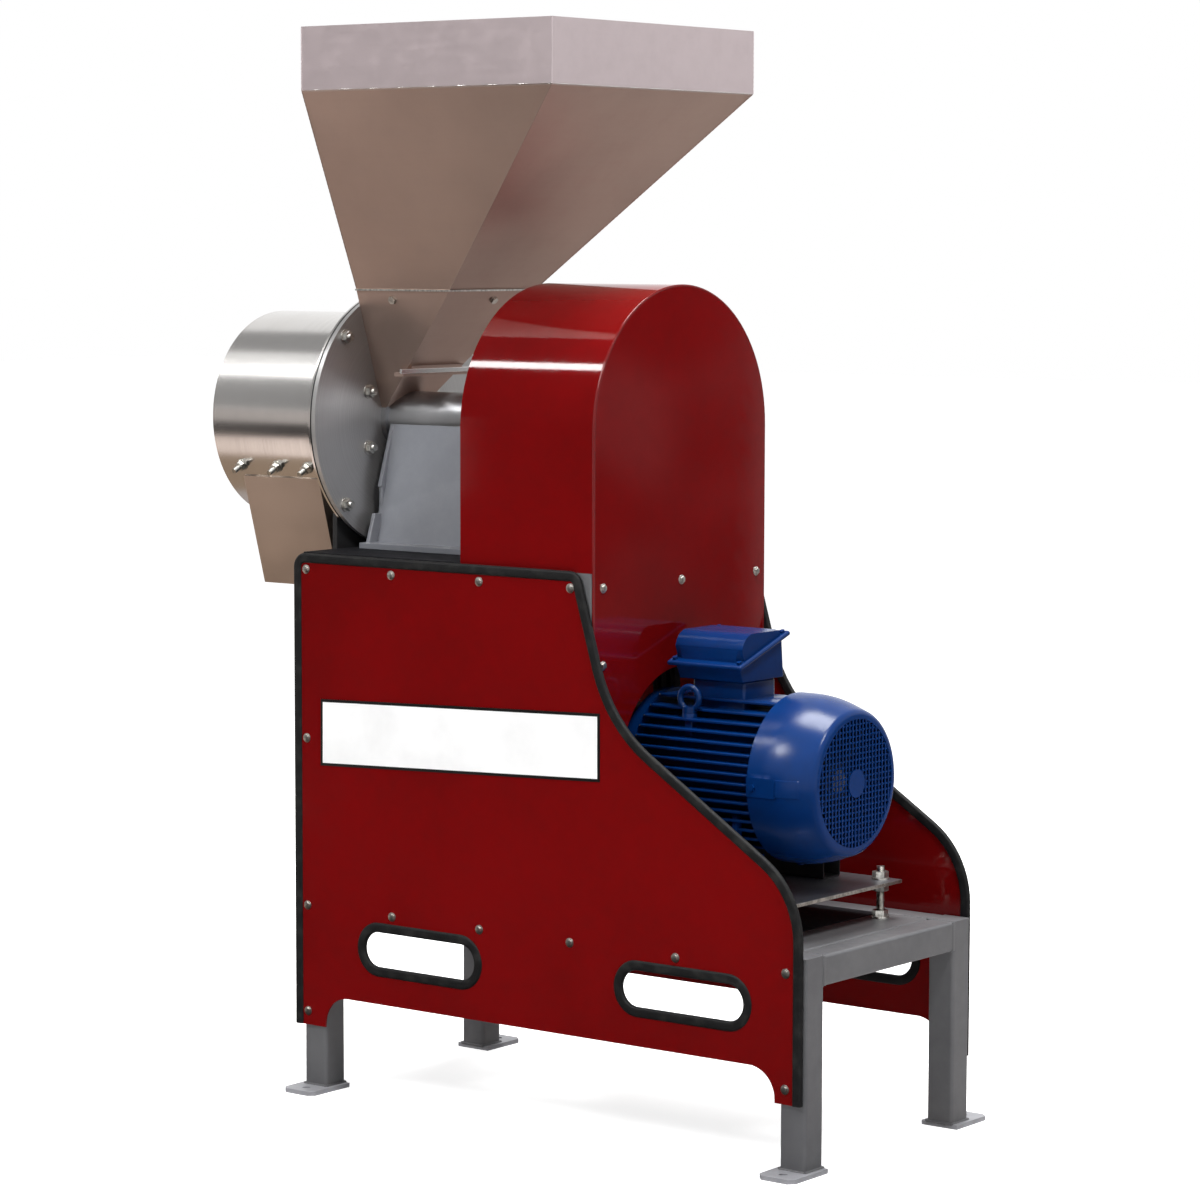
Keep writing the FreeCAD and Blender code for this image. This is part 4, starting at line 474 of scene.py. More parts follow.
def sweep(bm, section, moves):
    # draw an edge loop along the runs and bends of a route in the XZ plane
    verts, edges = section
    for kind, *how in moves:
        place = Vector((how[0].x, 0, how[0].y)) * mm
        if kind == "go":
            verts, edges = drawOn(bm, edges, place)
        else:
            steps = max(4, int(abs(how[1]) / math.radians(5)))
            spun = bmesh.ops.spin(
                bm, geom=verts + edges, cent=place, axis=(0, 1, 0), angle=how[1], steps=steps,
                use_merge=False, use_normal_flip=False, use_duplicate=False)
            verts, edges = parted(spun["geom_last"])
    return verts, edges


print("tools ready")

# rubber edging on the panels

edging = {"middle": 245.0, "deep": 10.0, "lip": 3.0, "leg": 14.0, "round": 4.2}
panelEdge = [
    (-540, 115), (-540, 935, 22), (77, 935, 22), (147, 697, 240), (523, 456, 152), (523, 115),
]
slotHole = {"length": 248.0, "height": 66.0, "level": 265.0, "places": (-262.0, 292.0)}


def roundSection(bm, middle, size, radius):
    # a rounded rectangle lying across the start of a run
    made = bmesh.ops.create_grid(
        bm, x_segments=1, y_segments=1, size=0.5, matrix=middle @ Matrix.Diagonal((*size, 1, 1)))
    corners = made["verts"]
    done = bmesh.ops.bevel(
        bm, geom=corners, offset=radius, segments=4, profile=0.5, affect="VERTICES", material=-1,
        clamp_overlap=True)
    verts = [v for v in bm.verts if v in done["verts"] or v in corners]
    return verts, edgesOf(bm, verts)


def edgeTrim(name, side, node):
    bm = bmesh.new()
    wide, deep = edging["lip"] + edging["leg"], edging["deep"]
    x, z = panelEdge[0]
    middle = Vector((x + edging["leg"] - wide / 2, side * edging["middle"], z)) * mm
    section = roundSection(bm, Matrix.Translation(middle), (wide * mm, deep * mm), edging["round"] * mm)
    last = sweep(bm, section, edgeRoute(panelEdge))
    bmesh.ops.contextual_create(bm, geom=last[1])
    newPiece(name, bm, "edge_rubber", replaced=[node])


def slotTrims():
    # the same section run once round each slot
    bm = bmesh.new()
    wide, deep = edging["lip"] + edging["leg"], edging["deep"]
    half, reach = slotHole["height"] / 2, (slotHole["length"] - slotHole["height"]) / 2
    level = slotHole["level"]
    for x in slotHole["places"]:
        for side in (-1, 1):
            rise = level + half - edging["lip"] + wide / 2
            middle = Vector((x - reach, side * edging["middle"], rise)) * mm
            upright = Matrix.Translation(middle) @ Matrix.Rotation(math.radians(90), 4, "Y")
            verts, edges = roundSection(bm, upright, (wide * mm, deep * mm), edging["round"] * mm)
            cap = [f for f in bm.faces if all(v in verts for v in f.verts)]
            bmesh.ops.delete(bm, geom=cap, context="FACES_ONLY")
            sweep(bm, (verts, edges), [
                ("go", Vector((reach * 2, 0))), ("bend", Vector((x + reach, level)), math.pi),
                ("go", Vector((-reach * 2, 0))), ("bend", Vector((x - reach, level)), math.pi),
            ])
    newPiece("slotTrims", bm, "edge_rubber", replaced=["slot_trims"])


edgeTrim("edgeTrimNear", -1, "edge_trim_near")
edgeTrim("edgeTrimFar", 1, "edge_trim_far")
slotTrims()
print("edging made")

# screws, nuts and studs

panelScrew = scaled({"washer": 8.0, "washerHigh": 1.1, "across": 10.5, "high": 4.0})
rowX = [-515.0, -322.5, -130.0, 62.5]
panelSpots = [(x, 910) for x in rowX] + [(x, 325) for x in rowX] + [
    (278.75, 325), (495, 325), (-515, 617.5), (-515, 139), (495, 139)]
guardSpots = [(y, z) for y in (-215, 215) for z in (910, 783, 597)] + [(0, 910)]


def screwMould(spec):
    bm = bmesh.new()
    disc(bm, 0, spec["washerHigh"], spec["washer"], bevel=spec["washerHigh"] * 0.4)
    hexNut(bm, spec["washerHigh"], spec["high"], spec["across"])
    return bm


def plantScrews():
    bm = bmesh.new()
    stamp(bm, screwMould(panelScrew), [
        aim((x, panelFace * side, z), (0, side, 0)) for x, z in panelSpots for side in (-1, 1)])
    newPiece("panelScrews", bm, "zinc", replaced=["panel_screws"])
    bm = bmesh.new()
    stamp(bm, screwMould(panelScrew), [aim((guardFace, y, z), (1, 0, 0)) for y, z in guardSpots])
    newPiece("guardScrews", bm, "zinc", replaced=["guard_screws"])


plateBolt = scaled({
    "washer": 13.0, "washerHigh": 2.0, "across": 19.0, "nutTop": 10.0, "tail": 15.0, "rod": 6.0,
    "pitch": 1.75, "head": 8.0})
boltRings = {"outer": 145.66, "inner": 98, "innerTurns": (30, 150, 210, 330), "nutFace": -512,
             "headFace": -528}
drumStud = scaled({
    "washer": 11.0, "washerHigh": 2.4, "across": 16.5, "nutTop": 11.5, "tail": 25.0, "rod": 5.0,
    "pitch": 1.5})
studRow = {"drop": 27, "places": (-739.6, -656.0, -585.0), "seat": 184.5}


def nutMould(spec):
    bm = bmesh.new()
    disc(bm, 0, spec["washerHigh"], spec["washer"], bevel=spec["washerHigh"] * 0.3)
    hexNut(bm, spec["washerHigh"], spec["nutTop"], spec["across"])
    threadedRod(bm, 0, spec["tail"], spec["rod"], spec["pitch"])
    return bm


def headMould(spec):
    bm = bmesh.new()
    disc(bm, 0, spec["washerHigh"] * 0.5, spec["across"] * 0.5)
    hexNut(bm, 0, spec["head"], spec["across"])
    return bm


def plantBolts():
    # bolts of the back plate, then the studs low on both sides of the drum
    reach = boltRings["outer"]
    outer = [(reach * y, shaftLevel + reach * z) for y in (-1, 1) for z in (-1, 1)]
    reach = boltRings["inner"]
    turns = [math.radians(a) for a in boltRings["innerTurns"]]
    inner = [(reach * math.cos(a), shaftLevel + reach * math.sin(a)) for a in turns]
    bm = bmesh.new()
    stamp(bm, nutMould(plateBolt), [aim((boltRings["nutFace"], y, z), (1, 0, 0)) for y, z in outer + inner])
    stamp(bm, headMould(plateBolt), [aim((boltRings["headFace"], y, z), (-1, 0, 0)) for y, z in outer])
    newPiece("backPlateBolts", bm, "zinc", replaced=["back_plate_bolts"])
    bm = bmesh.new()
    drop = math.radians(studRow["drop"])
    spots = []
    for x in studRow["places"]:
        for side in (-1, 1):
            out = Vector((0, side * math.cos(drop), -math.sin(drop)))
            spots.append(aim(Vector((x, 0, shaftLevel)) + out * studRow["seat"], out))
    stamp(bm, nutMould(drumStud), spots)
    newPiece("chuteStuds", bm, "zinc", replaced=["chute_studs"])


tension = {"spots": [(x, y) for x in (78, 410) for y in (-150, 150)], "top": 437, "plateLow": 409,
           "plateTop": 415}
tensionRod = scaled({
    "washer": 15.0, "washerHigh": 3.0, "washerEdge": 0.8, "seatEdge": 0.6, "across": 24.0, "nutTop": 14.0,
    "rod": 7.0, "pitch": 2.0})


def plantStuds():
    # studs stay on the deck, their nuts ride with the motor plate
    bm = bmesh.new()
    rod = bmesh.new()
    disc(rod, 0, tensionRod["washerHigh"], tensionRod["washer"], bevel=tensionRod["seatEdge"])
    hexNut(rod, 0, tensionRod["nutTop"], tensionRod["across"])
    threadedRod(rod, 0, (tension["top"] - deckLevel) * mm, tensionRod["rod"], tensionRod["pitch"])
    stamp(bm, rod, [aim((x, y, deckLevel), (0, 0, 1)) for x, y in tension["spots"]])
    newPiece("tensionStuds", bm, "zinc", replaced=["tension_studs"])
    bm = bmesh.new()
    for level, out in ((tension["plateTop"], 1), (tension["plateLow"], -1)):
        nut = bmesh.new()
        disc(nut, 0, tensionRod["washerHigh"], tensionRod["washer"], bevel=tensionRod["washerEdge"])
        hexNut(nut, tensionRod["washerHigh"], tensionRod["nutTop"], tensionRod["across"])
        stamp(bm, nut, [aim((x, y, level), (0, 0, out)) for x, y in tension["spots"]])
    newPiece("tensionNuts", bm, "zinc", "motor_carriage", ["tension_nuts"])


plantScrews()
plantBolts()
plantStuds()
print("fasteners made")

# bare label on the near panel

label = {"corners": [(-482.5, 687.5), (124.2, 708.9), (124.5, 596.6), (-483.2, 572.0)], "border": 5.0,
         "thick": 0.8}


def stickLabel(spec):
    # black border left by the inset, white inside it
    bm = bmesh.new()
    face = bm.faces.new([bm.verts.new((x * mm, -panelFace * mm, z * mm)) for x, z in spec["corners"]])
    bm.normal_update()
    bmesh.ops.inset_region(
        bm, faces=[face], thickness=spec["border"] * mm, use_boundary=True, use_even_offset=True)
    face.material_index = 1
    bmesh.ops.recalc_face_normals(bm, faces=bm.faces)
    if bm.faces[0].normal.y > 0:
        bmesh.ops.reverse_faces(bm, faces=bm.faces)
    bmesh.ops.solidify(bm, geom=bm.faces, thickness=-spec["thick"] * mm)
    piece = newPiece("bareLabel", bm, "plate_grey", finish=labelBlack)
    piece.data.materials.append(labelWhite.material)


stickLabel(label)
print("label made")

# hopper seams

hopper = {"rimX": (-492, 49), "rimHalf": 279, "top": 1833, "seamX": (-512, -300),
          "seamHalf": 117.5, "seam": 1390, "lip": 3.0, "proud": 1.4, "tuck": 1.2, "inset": 0.8,
          "rimBead": 1.5, "taperBead": 1.4, "ripple": 4.0, "topGap": 2}


def hopperSeams(spec):
    # corner welds of the rim and of the tapers below it
    bm = bmesh.new()
    for rx, sx in zip(spec["rimX"], spec["seamX"]):
        for side in (-1, 1):
            inX = spec["inset"] if rx < 0 else -spec["inset"]
            corner = (rx + inX, side * (spec["rimHalf"] - spec["inset"]))
            foot = (sx + inX, side * (spec["seamHalf"] - spec["inset"]), spec["seam"])
            fold, top = (*corner, foldLevel), (*corner, spec["top"] - spec["topGap"])
            weldBead(bm, fold, top, spec["rimBead"], spec["ripple"])
            weldBead(bm, fold, foot, spec["taperBead"], spec["ripple"])
    newPiece("hopperWelds", bm, "hopper_stainless", sharp=80)


def seamLip(spec):
    # cut edge of the spout standing round the hopper, in bright zinc: partly the bare cut edge, partly a
    # painted highlight along the seam
    bm = bmesh.new()
    back, front = spec["seamX"]
    size = ((front - back + spec["proud"] * 2) * mm, (spec["seamHalf"] + spec["proud"]) * 2 * mm)
    middle = Vector(((back + front) / 2, 0, spec["seam"] - spec["lip"])) * mm
    made = bmesh.ops.create_grid(
        bm, x_segments=1, y_segments=1, size=0.5,
        matrix=Matrix.Translation(middle) @ Matrix.Diagonal((*size, 1, 1)))
    face = made["verts"][0].link_faces[0]
    bm.normal_update()
    bmesh.ops.inset_region(
        bm, faces=[face], thickness=(spec["proud"] + spec["tuck"]) * mm, use_boundary=True,
        use_even_offset=True)
    bmesh.ops.delete(bm, geom=[face], context="FACES_ONLY")
    bmesh.ops.recalc_face_normals(bm, faces=bm.faces)
    bmesh.ops.solidify(bm, geom=bm.faces, thickness=spec["lip"] * mm)
    low = min(v.co.z for v in bm.verts)
    bmesh.ops.translate(bm, vec=(0, 0, middle.z - low), verts=bm.verts)
    newPiece("seamLip", bm, "zinc")


hopperSeams(hopper)
seamLip(hopper)
print("hopper seams made")

# welds of the stand and the drum

stand = {"legX": (-505, 505), "legY": 215, "half": 25, "foot": 8, "deckLow": 300, "endRail": 430,
         "footBead": 3.0, "railBead": 2.4, "railSink": 0.8, "railGap": 4, "lowBead": 2.6}
endSeam = {"deep": 3, "half": 4, "short": 1, "proud": 0.5, "edge": 0.4}
legCap = {"deep": 4, "short": 1, "proud": 0.4, "edge": 0.8}


def standWelds(spec, seam, lid):
    # beads at feet and rails, a ground seam at each end joint, a cap on each short leg
    bm = bmesh.new()
    h = spec["half"]
    for x in spec["legX"]:
        for y in (-spec["legY"], spec["legY"]):
            z = spec["foot"]
            ring = [(x - h, y - h, z), (x + h, y - h, z), (x + h, y + h, z), (x - h, y + h, z)]
            for a, b in around(ring):
                weldBead(bm, a, b, spec["footBead"])
    inner = spec["legY"] - h
    end = spec["legX"][1] + h
    low, top = spec["deckLow"], deckLevel
    for side in (-1, 1):
        y, leg = inner * side, spec["legY"] * side
        level = top - spec["railSink"]
        weldBead(bm, (spec["endRail"], y, level), (end - spec["railGap"], y, level), spec["railBead"])
        slab(bm, (end - seam["deep"], y - seam["half"], low + seam["short"]),
             (end + seam["proud"], y + seam["half"], top - seam["short"]), seam["edge"])
        reach = h - lid["short"]
        slab(bm, (end - h - reach, leg - reach, top - lid["deep"]),
             (end - h + reach, leg + reach, top + lid["proud"]), lid["edge"])
        weldBead(bm, (end - h * 2, y, low), (end - seam["deep"], y, low), spec["lowBead"])
    newPiece("standWelds", bm, "frame_grey", sharp=80)


drumJoint = {"flange": -528, "shell": 185, "bead": 3.0, "steps": 160}
drumGasket = {**drumJoint, "flange": -522.0, "shell": 225.4, "bead": 1.5}


def drumWeld(name, spec, slot):
    # a round bead spun about the shaft line
    bm = bmesh.new()
    place = Vector((spec["flange"], 0, shaftLevel + spec["shell"])) * mm
    turn = Matrix.Rotation(math.radians(90), 4, "X")
    made = bmesh.ops.create_circle(
        bm, cap_ends=False, segments=8, radius=spec["bead"] * mm, matrix=Matrix.Translation(place) @ turn)
    bmesh.ops.spin(
        bm, geom=made["verts"] + list(bm.edges), cent=Vector((spec["flange"], 0, shaftLevel)) * mm,
        axis=(1, 0, 0), angle=math.tau, steps=spec["steps"], use_merge=True, use_duplicate=False)
    newPiece(name, bm, slot, sharp=80)


guardFold = {"bead": 2.4, "inset": 1.9, "radius": 240.0, "foot": 441.0, "steps": 72}


def foldLine(spec):
    # rounded fold round the front edge of the guard
    bm = bmesh.new()
    place = Vector((guardFace - spec["inset"], spec["inset"] - spec["radius"], spec["foot"])) * mm
    made = bmesh.ops.create_circle(
        bm, cap_ends=True, segments=10, radius=spec["bead"] * mm, matrix=Matrix.Translation(place))
    rise = Vector((0, 0, shaftLevel - spec["foot"])) * mm
    verts, edges = drawOn(bm, edgesOf(bm, made["verts"]), rise)
    spun = bmesh.ops.spin(
        bm, geom=verts + edges, cent=Vector((0, 0, shaftLevel)) * mm, axis=(-1, 0, 0), angle=math.pi,
        steps=spec["steps"], use_duplicate=False)
    verts, edges = drawOn(bm, parted(spun["geom_last"])[1], -rise)
    bmesh.ops.contextual_create(bm, geom=edges)
    newPiece("guardFold", bm, "red_paint", sharp=80)


# painted shade: a dark sheet put where the deck under the motor plate is only in shadow
deckSheet = {"low": (103.5, -189.5), "high": (379.5, 189.5), "thick": 3.0, "edge": 0.6}


def layDeckShadeSheet(spec):
    # dark sheet let in flush between the deck rails, under the motor plate: a painted shadow standing in
    # for the plate's shade on the deck
    bm = bmesh.new()
    slab(bm, (*spec["low"], deckLevel - spec["thick"]), (*spec["high"], deckLevel), spec["edge"])
    newPiece("deckSheet", bm, "black_paint", finish=deckPaint)


rimFold = {"bead": 1.5, "inset": 1.2, "ripple": 30.0}


def foldHighlightBeads(rim, spec):
    # bead along the fold of the rim into the tapers, in the brighter drum stainless: a painted highlight
    # along the fold
    bm = bmesh.new()
    back, front = rim["rimX"][0] + spec["inset"], rim["rimX"][1] - spec["inset"]
    half = rim["rimHalf"] - spec["inset"]
    for start, end in around([(back, -half), (front, -half), (front, half), (back, half)]):
        weldBead(bm, (*start, foldLevel), (*end, foldLevel), spec["bead"], spec["ripple"])
    newPiece("rimFold", bm, "drum_stainless", sharp=80)


foldLine(guardFold)
layDeckShadeSheet(deckSheet)
foldHighlightBeads(hopper, rimFold)
standWelds(stand, endSeam, legCap)
drumWeld("drumWeld", drumJoint, "drum_stainless")
drumWeld("drumGasket", drumGasket, "edge_rubber")
print("welds made")

# motor casting

casting = {"axis": 597.0, "start": 96.0, "stop": 340.0, "core": 111.0, "tip": 136.0, "pitch": 15.5,
           "thick": 4.4, "rows": (-7, 8), "corner": 11.0, "rootSink": 8}
motorNeck = {"low": (162, -44, 690), "high": (268, 44, 753), "edge": 5}
motorFoot = {"x": (139, 317), "y": 108, "half": 23, "sole": 465, "high": 16, "webHalf": 7, "webTop": 543,
             "edge": 3, "webEdge": 2}
eyeBoss = {"place": (187, -86), "seat": 688, "top": 700, "radius": 12.5, "rim": 1.5, "ribHalf": 8,
           "ribOut": 4, "ribLow": 640, "ribLap": 2, "edge": 2}


def fin(bm, y0, y1, z, spec):
    # a level plate with round ends and a rounded tip
    size = Vector((spec["stop"] - spec["start"], abs(y1 - y0), spec["thick"])) * mm
    middle = Vector(((spec["start"] + spec["stop"]) / 2, (y0 + y1) / 2, z)) * mm
    made = bmesh.ops.create_cube(
        bm, size=1.0, matrix=Matrix.Translation(middle) @ Matrix.Diagonal((*size, 1)))
    verts = made["verts"]
    tip = max(abs(v.co.y) for v in verts)
    upright = [e for e in bm.edges if all(v in verts and abs(v.co.y) > tip - 1e-6 for v in e.verts)
               and abs(e.verts[0].co.z - e.verts[1].co.z) > 1e-4]
    done = bmesh.ops.bevel(
        bm, geom=upright, offset=spec["corner"] * mm, segments=5, profile=0.5, affect="EDGES", material=-1,
        clamp_overlap=True)
    own = set(v for v in verts if v.is_valid) | set(done["verts"])
    rims = [e for e in bm.edges if all(v in own for v in e.verts)
            and abs(e.verts[0].co.z - e.verts[1].co.z) < 1e-6]
    roundEdges(bm, rims, spec["thick"] * 0.3 * mm)


def castMotor(spec, neck, foot, eye):
    # round core, level fins out to a round outline, neck of the box, feet and the eye's boss
    bm = bmesh.new()
    along = Matrix.Translation(Vector(((spec["start"] + spec["stop"]) / 2, 0, spec["axis"])) * mm)
    along @= Matrix.Rotation(math.radians(90), 4, "Y")
    bmesh.ops.create_cone(
        bm, cap_ends=True, segments=112, radius1=spec["core"] * mm, radius2=spec["core"] * mm,
        depth=(spec["stop"] - spec["start"]) * mm, matrix=along)
    low, high = spec["rows"]
    for k in range(low, high + 1):
        rise = spec["pitch"] * k
        tip = math.sqrt(spec["tip"] ** 2 - rise ** 2)
        if abs(rise) > spec["core"]:
            for side in (-1, 1):
                fin(bm, 0, side * tip, spec["axis"] + rise, spec)
            continue
        root = max(0.0, math.sqrt(spec["core"] ** 2 - rise ** 2) - spec["rootSink"])
        for side in (-1, 1):
            fin(bm, side * root, side * tip, spec["axis"] + rise, spec)
    slab(bm, neck["low"], neck["high"], neck["edge"], 3)
    h, web, sole = foot["half"], foot["webHalf"], foot["sole"]
    for x in foot["x"]:
        for y in (-foot["y"], foot["y"]):
            slab(bm, (x - h, y - h, sole), (x + h, y + h, sole + foot["high"]), foot["edge"])
            slab(bm, (x - h, y - web, sole), (x - h / 2, y + web, foot["webTop"]), foot["webEdge"])
    x, y = eye["place"]
    boss = bmesh.new()
    disc(boss, 0, (eye["top"] - eye["seat"]) * mm, eye["radius"] * mm, 32, eye["rim"] * mm)
    stamp(bm, boss, [aim((x, y, eye["seat"]), (0, 0, 1))])
    slab(bm, (x - eye["ribHalf"], y - eye["ribOut"], eye["ribLow"]),
         (x + eye["ribHalf"], y / 2, eye["seat"] + eye["ribLap"]), eye["edge"])
    newPiece("motorCasting", bm, "motor_blue", "motor_carriage", ["motor_frame"])


# long raised pads on the sides of the fan cover

strip = {"start": 394.0, "stop": 436.0, "low": 581.0, "high": 613.0, "proud": 1.2, "steps": 21, "rows": 16,
         "sink": 3.0, "thick": 1.2, "away": 200.0}


def coverStrips(spec):
    # a grid laid on the cover by rays from the side, its outer row sunk
    shell = bmesh.new()
    shell.from_mesh(nodes["fan_cover"].data)
    tree = BVHTree.FromBMesh(shell)
    bm = bmesh.new()
    for side in (-1, 1):
        made = bmesh.ops.create_grid(
            bm, x_segments=spec["steps"], y_segments=spec["rows"], size=0.5)["verts"]
        for v in made:
            x = (spec["start"] + spec["stop"]) / 2 + v.co.x * (spec["stop"] - spec["start"])
            z = (spec["low"] + spec["high"]) / 2 + v.co.y * (spec["high"] - spec["low"])
            far = Vector((x, side * spec["away"], z)) * mm
            skin = tree.ray_cast(far, Vector((0, -side, 0)))[0]
            edge = max(abs(v.co.x), abs(v.co.y)) > 0.49
            v.co = skin + Vector((0, side, 0)) * (-spec["sink"] if edge else spec["proud"]) * mm
    shell.free()
    bmesh.ops.recalc_face_normals(bm, faces=bm.faces)
    bmesh.ops.solidify(bm, geom=bm.faces, thickness=spec["thick"] * mm)
    newPiece("coverStrips", bm, "motor_blue", "motor_carriage", sharp=50)


# rounded flange of the terminal lid

lidRoll = {
    "corners": [(140.5, -79.6, 779.5), (283.5, -79.6, 779.5), (283.5, 55.6, 826.5), (140.5, 55.6, 826.5)],
    "radius": 4.2, "segments": 14}


def rollLid(spec):
    bm = bmesh.new()
    radius = spec["radius"] * mm
    corners = [Vector(c) * mm for c in spec["corners"]]
    for start, end in around(corners):
        run = end - start
        turn = run.to_track_quat("Z", "Y").to_matrix().to_4x4()
        bmesh.ops.create_cone(
            bm, cap_ends=True, segments=spec["segments"], radius1=radius, radius2=radius, depth=run.length,
            matrix=Matrix.Translation((start + end) / 2) @ turn)
        bmesh.ops.create_uvsphere(
            bm, u_segments=spec["segments"], v_segments=8, radius=radius, matrix=Matrix.Translation(start))
    newPiece("lidRoll", bm, "motor_blue", "motor_carriage", sharp=40)


castMotor(casting, motorNeck, motorFoot, eyeBoss)
coverStrips(strip)
rollLid(lidRoll)
for name, width in {"terminal_lid": 2.2, "terminal_box": 2.0, "fan_cover": 0.8}.items():
    softened(name, width, "motor_carriage")
plate = softened("motor_plate", 0.7, "motor_carriage")
plate.data.materials.append(finishes["zinc"].material)
for face in plate.data.polygons:
    if abs(face.normal.z) < 0.5:
        face.material_index = 1  # bright cut edge in zinc: partly the bare cut metal, partly a painted highlight on the edges
for name, width in {"bearing_pedestal": 1.0, "drum_support": 0.8, "belt_guard": 1.2}.items():
    softened(name, width)
# foot plates take the lighter copy of the frame paint, painted light from above
softened("foot_plates", 0.8, finish=footPaint)
softened("mill_deck", 0.8, finish=deckPaint)
softened("feed_gate", 0.7, "gate", finish=finishes["drum_stainless"])
print("motor and plates made")

# belts run between the fixed upper pulley and the lower one on the motor plate; the copy is held on no body


def hangBelts():
    bm = bmesh.new()
    bm.from_mesh(nodes["drive_belts"].data)
    bmesh.ops.remove_doubles(bm, verts=bm.verts, dist=2e-5)
    run = newPiece("beltRun", bm, "belt_rubber", None, ["drive_belts"])
    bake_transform(run)


hangBelts()
print("belts hung")

# stage and light

stage = {"floor": 30.0, "floorTone": 0.80, "lift": 0.80, "skyForLight": 0.24}


def stageSheet(name, bm, finish):
    mesh = bpy.data.meshes.new(name)
    bm.to_mesh(mesh)
    bm.free()
    sheet = bpy.data.objects.new(name, mesh)
    scene.collection.objects.link(sheet)
    mesh.materials.append(finish.material)
    return sheet


def layStage(spec):
    # the floor and the sky are bright to the camera and in reflections, and dimmer as light
    bm = bmesh.new()
    bmesh.ops.create_grid(bm, x_segments=1, y_segments=1, size=spec["floor"])
    pale = Finish(
        "floorPale", roughness=0.9, baseColor=(spec["floorTone"],) * 3, emissionStrength=spec["lift"])
    seen = pale.node("LightPath", out="Is Camera Ray") + pale.node("LightPath", out="Is Glossy Ray")
    pale.set(emissionColor=pale.mix(seen, (0, 0, 0), (1, 1, 1)))
    stageSheet("floor", bm, pale)
    scene.world = bpy.data.worlds.new("studio")
    sky = Finish("sky", scene.world, color=(1, 1, 1))
    seen = sky.node("LightPath", out="Is Camera Ray") + sky.node("LightPath", out="Is Glossy Ray")
    seen = seen + sky.node("LightPath", out="Is Transmission Ray")
    sky.set(strength=sky.node("MapRange", {}, {"Value": seen, "To Min": spec["skyForLight"]}))


# sheets that only reflections see: dark and bright parts of a workshop

cards = {
    "nearLow": {"low": (-5.2, -1.2, 0.0), "high": (-0.2, -5.0, 0.8), "tone": (0.03, 0.028, 0.028)},
    "nearHood": {"low": (-2.6, -3.18, 0.8), "high": (-0.2, -5.0, 1.5), "tone": (0.04, 0.036, 0.036)},
    "nearDrum": {"low": (-5.2, -1.2, 0.8), "high": (-2.6, -3.18, 1.5), "tone": (0.52, 0.48, 0.46)},
    "farDisc": {"low": (0.2, 4.6, 0.0), "high": (2.23, 3.21, 1.5), "tone": (0.48, 0.48, 0.48)},
    "farGuard": {"low": (2.23, 3.21, 0.0), "high": (4.6, 1.6, 1.5), "tone": (0.05, 0.048, 0.048),
                 "blotch": (0.36, 0.34, 0.34)},
}
floorCards = {
    "floorDark": {"tone": (0.03, 0.028, 0.026), "edge": [
        (-1.15, 0), (-1.15, -0.75), (-4.8, -5.0), (4.6, -5.0), (4.6, 0)]},
    "floorBright": {"tone": (1.0, 0.84, 0.76), "edge": [
        (-1.58, -1.25), (-4.8, -5.0), (-6.0, -5.0), (-6.0, -1.25)]},
    "floorBrown": {"tone": (0.34, 0.25, 0.18), "edge": [
        (-1.15, 0), (-6.0, 0), (-6.0, -1.25), (-1.58, -1.25), (-1.15, -0.75)]},
    "floorFar": {"tone": (0.46, 0.41, 0.39), "edge": [(-4.6, 0), (4.6, 0), (4.6, 4.6), (-4.6, 4.6)]},
}
cardLift = 0.003
wall = {"x": -3.65, "axis": (-0.2, 1.2)}
bands = [
    {"reach": (0.4, 4.15), "turn": (8, 46), "level": 0.34},
    {"reach": (0.4, 4.15), "turn": (-20, 5.5), "level": 0.42},
    {"reach": (0.4, 4.15), "turn": (46.5, 54), "level": 2.6},
    {"reach": (0.4, 4.15), "turn": (76, 108), "level": 0.30},
    {"reach": (4.15, 8.0), "turn": (-20, 48.5), "level": 0.05},
    {"reach": (4.15, 8.0), "turn": (48.5, 54.0), "level": 24.0},
    {"reach": (4.15, 8.0), "turn": (54, 84), "level": 0.09},
    {"reach": (4.15, 8.0), "turn": (84, 85), "level": 2.0},
    {"reach": (4.15, 8.0), "turn": (85, 125), "level": 0.14},
]


def glossOnly(sheet):
    sheet.visible_camera = False
    sheet.visible_diffuse = False
    sheet.visible_shadow = False
    sheet.visible_transmission = False


def cardFinish(name, tint, strength=1.0):
    return Finish(name, baseColor=(0, 0, 0), roughness=1.0, specularIorLevel=0.0, emissionColor=tint,
                  emissionStrength=strength)


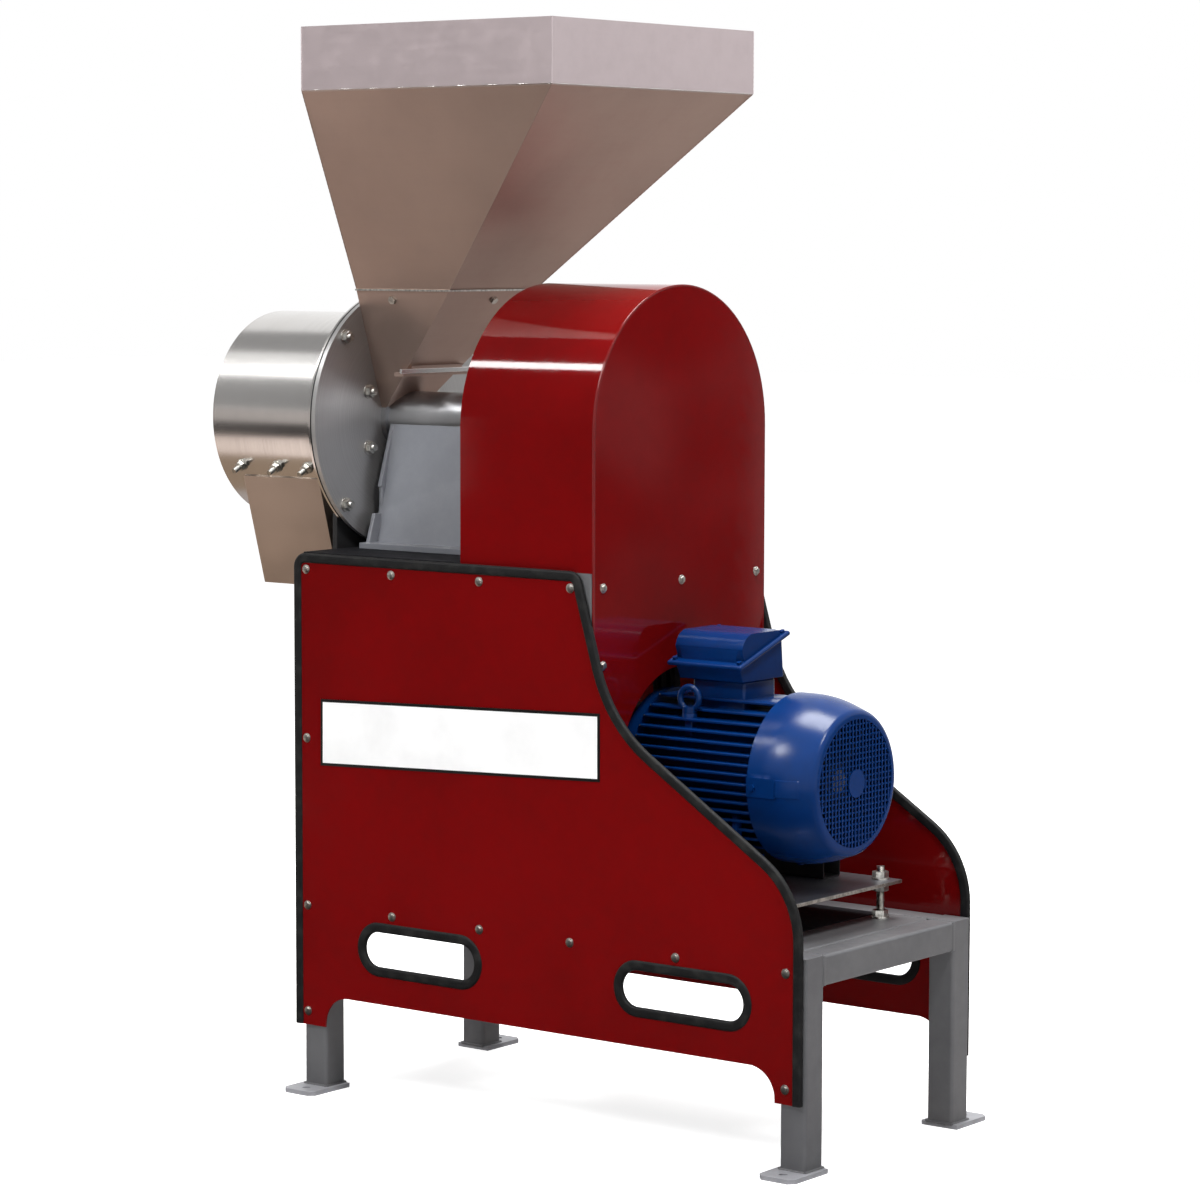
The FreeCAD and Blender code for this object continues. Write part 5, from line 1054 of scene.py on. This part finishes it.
def hangCards():
    for name, card in cards.items():
        (x0, y0, z0), (x1, y1, z1) = card["low"], card["high"]
        bm = bmesh.new()
        bm.faces.new([bm.verts.new(c) for c in ((x0, y0, z0), (x1, y1, z0), (x1, y1, z1), (x0, y0, z1))])
        finish = cardFinish(name, card["tone"])
        if "blotch" in card:
            cloud = finish.steps(finish.noise(1.5, 2.0), 0.48, 0.70)
            finish.set(emissionColor=finish.mix(cloud, card["tone"], card["blotch"]))
        glossOnly(stageSheet(name, bm, finish))
    for name, card in floorCards.items():
        bm = bmesh.new()
        bm.faces.new([bm.verts.new((x, y, cardLift)) for x, y in card["edge"]])
        glossOnly(stageSheet(name, bm, cardFinish(name, card["tone"])))
    y, z = wall["axis"]
    for k, band in enumerate(bands):
        bm = bmesh.new()
        rays = [math.radians(a) for a in band["turn"]]
        near, far = [
            [(wall["x"], y - reach * math.cos(a), z + reach * math.sin(a)) for a in rays]
            for reach in band["reach"]]
        bm.faces.new([bm.verts.new(c) for c in far + near[::-1]])
        level = band["level"]
        glossOnly(stageSheet(f"band{k}", bm, cardFinish(f"band{k}", (min(level, 1),) * 3, max(level, 1))))


lampAim = (0, 0, 0.9)
lamps = {
    "key": {"at": (-1.2, -4.2, 4.4), "across": 1.3, "watts": 135},
    "side": {"at": (2.3, -1.0, 4.4), "across": 1.0, "watts": 105},
    "top": {"at": (0.0, 0.3, 4.6), "across": 2.0, "watts": 230},
    "back": {"at": (-1.5, 3.8, 3.4), "across": 1.6, "watts": 90, "gloss": False},
}


def hangLamps(spec):
    for name, lamp in spec.items():
        light = bpy.data.lights.new(name, "AREA")
        light.shape = "DISK"
        light.size = lamp["across"]
        light.energy = lamp["watts"]
        body = bpy.data.objects.new(name, light)
        ahead = Vector(lampAim) - Vector(lamp["at"])
        turn = ahead.to_track_quat("-Z", "Y").to_matrix().to_4x4()
        body.matrix_world = Matrix.Translation(lamp["at"]) @ turn
        body.visible_glossy = lamp.get("gloss", True)
        scene.collection.objects.link(body)


layStage(stage)
hangCards()
hangLamps(lamps)
scene.view_settings.view_transform = "Standard"
print("stage and lamps set")
